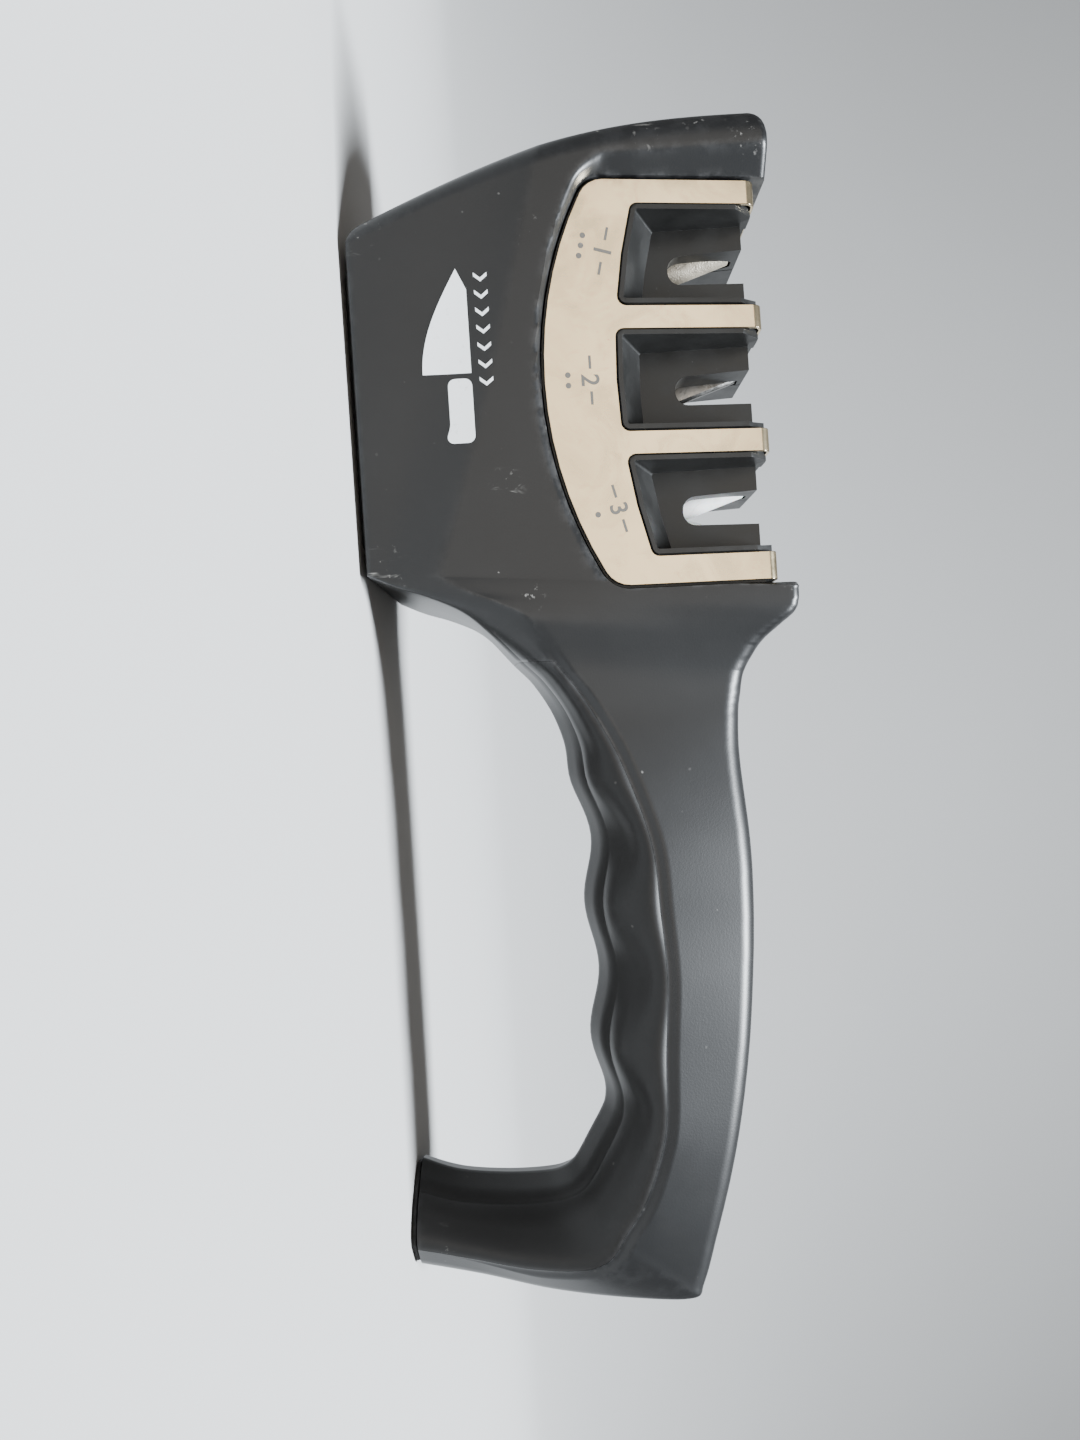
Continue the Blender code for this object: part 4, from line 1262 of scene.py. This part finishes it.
@dataclass
class Body:
    """Moulded shell of head and upper handle, and the finger grip below the ridge."""

    form: BodyForm
    shift: Vector
    finish: SoftTouch = field(default_factory=SoftTouch)
    pocket_top: float = 100.0
    plate_seam: float = 0.3
    seat_radius: float = 3.0
    beyond: float = 10.0
    neck_per_row: int = 10
    shell_step: float = 0.004
    grip_step: float = 0.012
    grip_shine: float = 0.24

    def shell_mesh(self) -> bmesh.types.BMesh:
        """Skin the shell, then cut the pocket and the seat of the base plate.

        Returns:
            The shell, in millimetres.
        """
        form = self.form
        rings = [s.whole() for s in form.head_sections()]
        rings += [s.whole() for s in form.handle_sections(0.0, form.grip_from, self.neck_per_row)]
        upper = form.handle_sections(form.grip_from + self.shell_step, form.last)
        rings += [s.above_ridge() for s in upper]
        rings.append(flat_end(upper[-1], upper[-1].above_ridge))
        bm = skin(rings)
        pocket = form.pocket
        wide = form.base_half + self.beyond
        tools = [prism(pocket.outline(pocket.gap, self.pocket_top), -wide, wide)]
        low, high = (corner / MM - self.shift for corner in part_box("base_plate"))
        grow = self.plate_seam
        left, right, near, far = low.x - grow, high.x + grow, low.y - grow, high.y + grow
        seat = [(left, near), (right, near), (right, far), (left, far)]
        outline = rounded_outline(seat, self.seat_radius, 6)
        tools.append(prism(outline, -self.beyond, high.z + grow, "z"))
        return carve(bm, tools)

    def grip_mesh(self) -> bmesh.types.BMesh:
        """Skin the finger grip.

        Returns:
            The grip, in millimetres.
        """
        form = self.form
        sections = form.handle_sections(form.grip_from + self.grip_step, form.last)
        rings = [flat_end(sections[0], sections[0].below_ridge)]
        rings += [s.below_ridge() for s in sections]
        rings.append(flat_end(sections[-1], sections[-1].below_ridge))
        return skin(rings)

    def build(self) -> list[bpy.types.Object]:
        """Make shell and grip.

        Returns:
            The two pieces.
        """
        material = self.finish.make()
        start = self.shift.x + self.form.rows[round(self.form.grip_from)][0] * self.form.reach
        soft = replace(self.finish, name="soft_grip_charcoal", shine=self.grip_shine,
                       dull_from=start * MM).make()
        pieces = []
        for mesh, name, finish, slot, node in (
            (self.shell_mesh(), "shell_soft_touch", material, "body_plastic", "body_shell"),
            (self.grip_mesh(), "grip_soft_touch", soft, "grip_soft", "finger_grip"),
        ):
            mark_curved_edges(mesh)
            piece = finish_mesh(mesh, name, finish, self.shift)
            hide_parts(node)
            pieces.append(piece)
        return pieces


@dataclass
class SlotPack:
    """Insert halves, the steel cover over them, and the sharpening pieces in the slots."""

    form: BodyForm
    shift: Vector
    pitch: float = 22.9
    block_drop: float = 2.0
    notch_depth: float = 14.3
    point_above_notch: float = 3.1
    half_angle: float = 18.0
    rod_radius: float = 2.5
    rod_length: float = 18.0
    below_top: float = 1.4
    blade_length: float = 16.0
    blade_width: float = 6.0
    blade_thickness: float = 2.0
    rod_end_round: float = 0.45
    ground_edge: float = 0.5
    blade_edge_round: float = 0.12
    insert_edge: float = 0.22
    cover_edge: float = 0.12
    gap: float = 0.3

    def slots(self) -> list[float]:
        """Places of the three slots."""
        return [self.form.pocket.middle + (k - 1) * self.pitch for k in range(3)]

    def axes(self, slot: float, side: int) -> tuple[Vector, Vector, Vector, float]:
        """Line of a V's edge.

        Args:
            slot: Place of the slot.
            side: -1 toward the nose, 1 toward the handle.

        Returns:
            Its point, its direction, the way out of the slot, and the length to its top.
        """
        slope = math.radians(self.half_angle)
        block_top = self.form.pocket.top - self.block_drop
        low = block_top - self.notch_depth + self.point_above_notch
        start = Vector((slot, 0.0, low))
        along = Vector((side * math.sin(slope), 0.0, math.cos(slope)))
        out = Vector((side * math.cos(slope), 0.0, -math.sin(slope)))
        return start, along, out, (block_top - self.below_top - low) / math.cos(slope)

    def rod(self, slot: float, side: int) -> bmesh.types.BMesh:
        """Round rod with softened ends, its inner side along the V.

        Args:
            slot: Place of the slot.
            side: -1 toward the nose, 1 toward the handle.

        Returns:
            The rod.
        """
        start, along, out, top = self.axes(slot, side)
        bm = bmesh.new()
        bmesh.ops.create_cone(bm, cap_ends=True, segments=56, radius1=self.rod_radius,
                              radius2=self.rod_radius, depth=self.rod_length)
        rims = [e for e in bm.edges if e.calc_face_angle(0.0) > 1.0]
        bmesh.ops.bevel(bm, geom=rims, offset=self.rod_end_round, segments=4, **BEVEL)
        long_edges = [e for e in bm.edges if e.calc_length() > self.rod_length / 2]
        bmesh.ops.subdivide_edges(bm, edges=long_edges, cuts=12, use_grid_fill=True)
        middle = start + out * self.rod_radius + along * (top - self.rod_length / 2)
        middle.y = side * (self.rod_radius + self.gap)
        turn = Vector((0, 0, 1)).rotation_difference(along).to_matrix().to_4x4()
        bmesh.ops.transform(bm, matrix=Matrix.Translation(middle) @ turn, verts=bm.verts)
        return bm

    def blade(self, slot: float, side: int) -> bmesh.types.BMesh:
        """Flat blade with a ground edge along the V.

        Args:
            slot: Place of the slot.
            side: -1 toward the nose, 1 toward the handle.

        Returns:
            The blade.
        """
        start, along, out, top = self.axes(slot, side)
        bm = bmesh.new()
        bmesh.ops.create_cube(bm, size=1.0)
        bmesh.ops.scale(bm, vec=(self.blade_width, self.blade_thickness, self.blade_length), verts=bm.verts)
        near = [e for e in bm.edges if abs(e.verts[0].co.x + e.verts[1].co.x + self.blade_width) < 0.01
                and abs(e.verts[0].co.z - e.verts[1].co.z) > 1.0]
        bmesh.ops.bevel(bm, geom=near, offset=self.ground_edge, segments=1, **BEVEL)
        bmesh.ops.bevel(bm, geom=bm.edges[:], offset=self.blade_edge_round, segments=2, **BEVEL)
        axes = Matrix((out, Vector((0, 1, 0)), along)).transposed().to_4x4()
        middle = start + out * self.blade_width / 2 + along * (top - self.blade_length / 2)
        middle.y = side * (self.gap + self.blade_thickness / 2)
        bmesh.ops.transform(bm, matrix=Matrix.Translation(middle) @ axes, verts=bm.verts)
        bmesh.ops.recalc_face_normals(bm, faces=bm.faces)
        return bm

    def build(self) -> list[bpy.types.Object]:
        """Make the insert, the cover and the sharpening pieces.

        Returns:
            The pieces.
        """
        black = MouldedBlack().make()
        pieces = []
        for half in ("front", "back"):
            node = f"insert_half_{half}"
            name = f"insert_black_{half}"
            pieces.append(worked_copy(node, name, black, self.insert_edge))
        steel = PolishedSteel().make()
        pieces.append(worked_copy("slot_cover", "cover_polished", steel, self.cover_edge))
        finishes = {
            "coarse_rod": StoneFinish(
                Stone.COARSE, base=(0.30, 0.265, 0.21), stain=(0.15, 0.13, 0.10), roughness=0.5,
                metallic=0.25, grain=2600.0, depth=0.00009),
            "carbide_blade": StoneFinish(
                Stone.CARBIDE, base=(0.24, 0.235, 0.225), stain=(0.09, 0.088, 0.085), roughness=0.33,
                metallic=1.0, grain=1200.0, depth=0.00002),
            "ceramic_rod": StoneFinish(
                Stone.CERAMIC, base=(0.86, 0.86, 0.85), stain=(0.70, 0.69, 0.67), roughness=0.4,
                metallic=0.0, grain=900.0, depth=0.00001, subsurface=0.15),
        }
        for (name, finish), slot in zip(finishes.items(), self.slots()):
            material = finish.make()
            for side, end in ((-1, "nose"), (1, "grip")):
                mesh = self.blade(slot, side) if finish.kind is Stone.CARBIDE else self.rod(slot, side)
                piece = finish_mesh(mesh, f"{name}_{end}_finished", material, self.shift)
                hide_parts(f"{name}_{end}")
                pieces.append(piece)
        return pieces


@dataclass
class Underside:
    """Base plate, soft pads and screws."""

    plate_edge: float = 0.25
    pad_edge: float = 0.4
    foot_pad_edge: float = 0.2

    def build(self) -> list[bpy.types.Object]:
        """Make the plate and pads, and finish the screws.

        Returns:
            The new pieces.
        """
        plastic = MouldedBlack(
            "base_plate_black", base=(0.030, 0.030, 0.031), light=(0.042, 0.042, 0.043),
            worn=(0.10, 0.10, 0.10), roughness=0.55, grain_depth=0.00003).make()
        rubber = PadRubber().make()
        steel = ScrewSteel().make()
        pieces = [
            worked_copy("base_plate", "base_plate_moulded", plastic, self.plate_edge),
            worked_copy("base_pad", "base_pad_ribbed", rubber, self.pad_edge),
            worked_copy("foot_pad", "foot_pad_ribbed", rubber, self.foot_pad_edge),
        ]
        for name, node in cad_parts.items():
            if "screw" in name:
                node.data.materials.clear()
                node.data.materials.append(steel)
        return pieces


@dataclass
class Marks:
    """Print on the head's side and labels on the cover, all of them plain and generic."""

    form: BodyForm
    shift: Vector
    slots: Sequence[float]
    knife_length: float = 31.0
    knife_height: float = 8.6
    knife_corner: float = 1.3
    knife_place: Point = (-53.4, 13.4)
    chevrons: int = 7
    chevron_pitch: float = 3.1
    chevron_height: float = 2.4
    chevron_place: Point = (-52.6, 24.6)
    numeral_height: float = 3.3
    dot_radius: float = 0.52
    dot_pitch: float = 1.9
    dash_length: float = 2.4
    dash_height: float = 0.48
    slant: float = 14.0
    slant_shift: float = 2.0
    above_arc: float = 8.4
    mark_cell: float = 1.2
    label_cell: float = 2.0
    lift: float = 0.04

    def knife(self) -> list[list[Point]]:
        """Side view of a kitchen knife: a blade with a curved belly, and its handle.

        Returns:
            The two outlines.
        """
        long, high = self.knife_length, self.knife_height
        x, z = self.knife_place
        blade = [(x, z + high * 0.80)]
        for k in range(1, 15):
            turn = k / 14 * math.pi / 2
            blade.append((x + long * 0.60 * k / 14, z + high * 0.80 * (1.0 - math.sin(turn))))
        blade += [(x + long * 0.60, z + high), (x + long * 0.12, z + high)]
        grip = [(0.63, 0.50), (0.90, 0.50), (1.0, 0.38), (1.0, 1.0), (0.63, 1.0)]
        corners = [(x + long * a, z + high * b) for a, b in grip]
        return [blade, rounded_outline(corners, self.knife_corner, 5)]

    def chevron_row(self) -> list[list[Point]]:
        """Row of small arrow heads that point along the handle.

        Returns:
            Their outlines.
        """
        x, z = self.chevron_place
        wide, half = self.chevron_height * 0.28, self.chevron_height / 2
        row = []
        for k in range(self.chevrons):
            left = x + k * self.chevron_pitch
            row.append([(left, z - half), (left + wide, z - half), (left + wide + half * 0.8, z),
                        (left + wide, z + half), (left, z + half), (left + half * 0.8, z)])
        return row

    def label(self, count: int) -> list[list[Point]]:
        """Dashes beside a numeral and a row of dots below it, centred on the numeral.

        Args:
            count: Number of dots.

        Returns:
            Their outlines.
        """
        shapes = []
        for side in (-1.0, 1.0):
            start = side * self.numeral_height * 0.62
            ends = sorted((start, start + side * self.dash_length))
            half = self.dash_height / 2
            shapes.append([(ends[0], -half), (ends[1], -half), (ends[1], half), (ends[0], half)])
        for k in range(count):
            x = (k - (count - 1) / 2.0) * self.dot_pitch
            z = -self.numeral_height * 1.25
            turns = [2.0 * math.pi * step / 20 for step in range(20)]
            shapes.append([(x + self.dot_radius * math.cos(t), z + self.dot_radius * math.sin(t))
                           for t in turns])
        return shapes

    def text_mesh(self, words: str, height: float) -> bmesh.types.BMesh:
        """Numerals as a flat mesh in the side view.

        Args:
            words: The numerals.
            height: Height of one.

        Returns:
            The mesh.
        """
        curve = bpy.data.curves.new("numeral", "FONT")
        curve.body = words
        curve.size = height * 1.4
        curve.align_x = "CENTER"
        curve.resolution_u = 8
        curve.offset = 0.02 * height
        thing = bpy.data.objects.new("numeral", curve)
        bpy.context.scene.collection.objects.link(thing)
        graph = bpy.context.evaluated_depsgraph_get()
        mesh = bpy.data.meshes.new_from_object(thing.evaluated_get(graph))
        bm = bmesh.new()
        bm.from_mesh(mesh)
        bpy.data.objects.remove(thing, do_unlink=True)
        bmesh.ops.transform(bm, matrix=Matrix.Rotation(math.pi / 2, 4, "X"), verts=bm.verts)
        bmesh.ops.translate(bm, vec=(0.0, 0.0, -height / 2), verts=bm.verts)
        return bm

    def shape_mesh(self, outlines: Sequence[Sequence[Point]]) -> bmesh.types.BMesh:
        """Flat mesh in the side view.

        Args:
            outlines: Closed outlines.

        Returns:
            The mesh.
        """
        bm = bmesh.new()
        for outline in outlines:
            bm.faces.new([bm.verts.new((x, 0.0, z)) for x, z in outline])
        return bm

    def laid_on(self, bm: bmesh.types.BMesh, target: bpy.types.Object, place: Point, turn: float,
                cell: float) -> bmesh.types.BMesh:
        """Lay a flat mark on the near side of a piece.

        Args:
            bm: The mark, in the side view.
            target: The piece it lies on.
            place: Where its origin goes.
            turn: Its slant in degrees.
            cell: Size of the pieces that it is cut into so that it can follow the surface.

        Returns:
            The same mesh, as a thin solid on the surface.
        """
        bmesh.ops.rotate(bm, matrix=Matrix.Rotation(math.radians(turn), 3, "Y"), verts=bm.verts)
        bmesh.ops.translate(bm, vec=(place[0], 0.0, place[1]), verts=bm.verts)
        for axis in (0, 2):
            values = [v.co[axis] for v in bm.verts]
            cut = math.floor(min(values) / cell) * cell + cell / 3
            normal = Vector((1, 0, 0)) if axis == 0 else Vector((0, 0, 1))
            while cut < max(values):
                geom = bm.verts[:] + bm.edges[:] + bm.faces[:]
                bmesh.ops.bisect_plane(bm, geom=geom, dist=0.0005, plane_co=normal * cut, plane_no=normal)
                cut += cell
        tree = BVHTree.FromPolygons([v.co / MM for v in target.data.vertices],
                                    [p.vertices for p in target.data.polygons])
        for vert in bm.verts:
            start = vert.co + self.shift
            start.y = -60.0
            hit = tree.ray_cast(start, Vector((0, 1, 0)))[0]
            vert.co.y = hit.y - self.shift.y + self.lift / 2
        bmesh.ops.recalc_face_normals(bm, faces=bm.faces)
        wall = bmesh.ops.extrude_face_region(bm, geom=bm.faces[:])["geom"]
        moved = [g for g in wall if isinstance(g, bmesh.types.BMVert)]
        bmesh.ops.translate(bm, vec=(0.0, -self.lift * 1.5, 0.0), verts=moved)
        bmesh.ops.recalc_face_normals(bm, faces=bm.faces)
        return bm

    def build(self, shell: bpy.types.Object, cover: bpy.types.Object) -> list[bpy.types.Object]:
        """Make the marks.

        Args:
            shell: The piece that carries the head mark.
            cover: The piece that carries the numerals.

        Returns:
            The marks.
        """
        white = PrintedInk("pale_print", (0.80, 0.82, 0.83), (0.60, 0.61, 0.61)).make()
        grey = PrintedInk("dark_etching", (0.10, 0.095, 0.085), (0.22, 0.20, 0.18), 0.4).make()
        pieces = []
        for name, shapes in (("knife_mark", self.knife()), ("chevron_mark", self.chevron_row())):
            mark = self.laid_on(self.shape_mesh(shapes), shell, (0.0, 0.0), 0.0, self.mark_cell)
            pieces.append(finish_mesh(mark, name, white, self.shift))
        pocket = self.form.pocket
        for k, slot in enumerate(self.slots):
            turn = self.slant * (1 - k)
            arc = pocket.bottom + pocket.arc_radius
            arc -= math.sqrt(pocket.arc_radius**2 - (slot - pocket.middle) ** 2)
            place = (slot - math.sin(math.radians(turn)) * self.slant_shift, arc + self.above_arc)
            signs = {"numeral": self.text_mesh(str(k + 1), self.numeral_height),
                     "label": self.shape_mesh(self.label(len(self.slots) - k))}
            for name, bm in signs.items():
                bm = self.laid_on(bm, cover, place, turn, self.label_cell)
                pieces.append(finish_mesh(bm, f"{name}_{k + 1}", grey, self.shift))
        return pieces


# ---------------------------------------------------------------- studio


@dataclass
class Studio:
    """Floor, light and camera."""

    target: Vector
    distance: float = 0.215
    lens: float = 27.05
    roll: float = 3.76
    ambient: float = 0.20
    sky: Colour = (0.97, 0.98, 1.0)
    wall: float = 1.6
    wall_round: float = 1.1
    reach: float = 4.0
    flat_share: float = 0.2
    floor_steps: int = 60
    paint: tuple[Colour, Colour] = ((0.40, 0.398, 0.394), (0.42, 0.418, 0.414))

    def floor(self) -> bpy.types.Object:
        """Plain pale floor that curves up into a wall behind the sharpener.

        Returns:
            The floor.
        """
        bm = bmesh.new()
        bmesh.ops.create_grid(bm, x_segments=1, y_segments=self.floor_steps, size=1.0)
        start, flat = self.wall - self.wall_round, self.flat_share
        for vert in bm.verts:
            share = (vert.co.y + 1.0) / 2.0
            turn = min(max((share - flat) / (1.0 - 2.0 * flat), 0.0), 1.0) * math.pi / 2
            y = start + self.wall_round * math.sin(turn)
            z = self.wall_round * (1.0 - math.cos(turn))
            y -= max(flat - share, 0.0) / flat * (start + self.reach)
            z += max(share - (1.0 - flat), 0.0) / flat * self.reach
            vert.co = (vert.co.x * self.reach, y, z)
        bmesh.ops.recalc_face_normals(bm, faces=bm.faces)
        if bm.faces[:][0].normal.z < 0.0:
            bmesh.ops.reverse_faces(bm, faces=bm.faces)
        for face in bm.faces:
            face.smooth = True
        mesh = bpy.data.meshes.new("floor")
        bm.to_mesh(mesh)
        bm.free()
        g = Graph("floor_paint")
        g.set(Base_Color=g.blend(g.noise(3.0, 2.0), *self.paint), Roughness=1.0, Specular_IOR_Level=0.0)
        mesh.materials.append(g.material)
        floor = bpy.data.objects.new("floor", mesh)
        bpy.context.scene.collection.objects.link(floor)
        return floor

    def world(self) -> None:
        """Even pale light from all around."""
        world = bpy.data.worlds.new("studio")
        world.use_nodes = True
        light = world.node_tree.nodes["Background"]
        light.inputs["Color"].default_value = (*self.sky, 1.0)
        light.inputs["Strength"].default_value = self.ambient
        bpy.context.scene.world = world

    def lamp(self, name: str, place: Sequence[float], size: Point, power: float, colour: Colour) -> None:
        """Soft rectangular light that faces the sharpener.

        Args:
            name: Its name.
            place: Where it stands, in metres.
            size: Its width and height.
            power: Its power in watts.
            colour: Its colour.
        """
        light = bpy.data.lights.new(name, "AREA")
        light.shape = "RECTANGLE"
        light.size, light.size_y = size
        light.energy = power
        light.color = colour
        thing = bpy.data.objects.new(name, light)
        thing.location = place
        thing.rotation_euler = (self.target - Vector(place)).to_track_quat("-Z", "Y").to_euler()
        bpy.context.scene.collection.objects.link(thing)

    def camera(self) -> None:
        """Camera level with the sharpener's side, turned so that the nose is up in the picture."""
        data = bpy.data.cameras.new("camera")
        data.sensor_fit = "VERTICAL"
        data.sensor_height = 36.0
        data.lens = self.lens
        data.clip_start = 0.01
        turn = math.radians(self.roll)
        right = Vector((math.sin(turn), 0.0, math.cos(turn)))
        up = Vector((-math.cos(turn), 0.0, math.sin(turn)))
        back = Vector((0.0, -1.0, 0.0))
        thing = bpy.data.objects.new("camera", data)
        thing.matrix_world = Matrix.Translation(self.target + back * self.distance) @ Matrix(
            (right, up, back)).transposed().to_4x4()
        bpy.context.scene.collection.objects.link(thing)
        bpy.context.scene.camera = thing

    def build(self) -> None:
        """Make the whole studio."""
        self.floor()
        self.world()
        self.lamp("window", (0.37, -0.38, 1.47), (0.66, 0.22), 135.0, (0.88, 0.94, 1.0))
        self.lamp("panel", (-0.25, -1.75, 0.62), (1.7, 1.0), 12.0, (1.0, 0.90, 0.77))
        self.camera()


def main() -> None:
    """Make every piece and report it."""
    logging.basicConfig(level=logging.INFO, format="%(name)s: %(message)s")
    low, high = (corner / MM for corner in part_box("slot_cover"))
    shift = Vector((high.x - COVER_BEHIND_HEEL, 0.0, 0.0))
    pocket = PocketForm(
        half_width=COVER_TOP_HALF_WIDTH, top=high.z, bottom=low.z, front=low.x - shift.x,
        rear=high.x - shift.x, bottom_half_width=high.y)
    form = BodyForm(pocket)
    slot_pack = SlotPack(form, shift)
    knocks = tuple((x + shift.x, y, z, reach) for x, y, z, reach in KNOCKS)
    shell, grip = Body(form, shift, SoftTouch(knocks=knocks)).build()
    packed = slot_pack.build()
    cover = next(p for p in packed if p.name == "cover_polished")
    marks = Marks(form, shift, slot_pack.slots()).build(shell, cover)
    under = Underside().build()
    for piece in [shell, grip, *packed, *marks, *under]:
        log.info("%s: %d faces", piece.name, len(piece.data.polygons))
    Studio((shift + AIM) * MM).build()


if __name__ == "__main__":
    main()
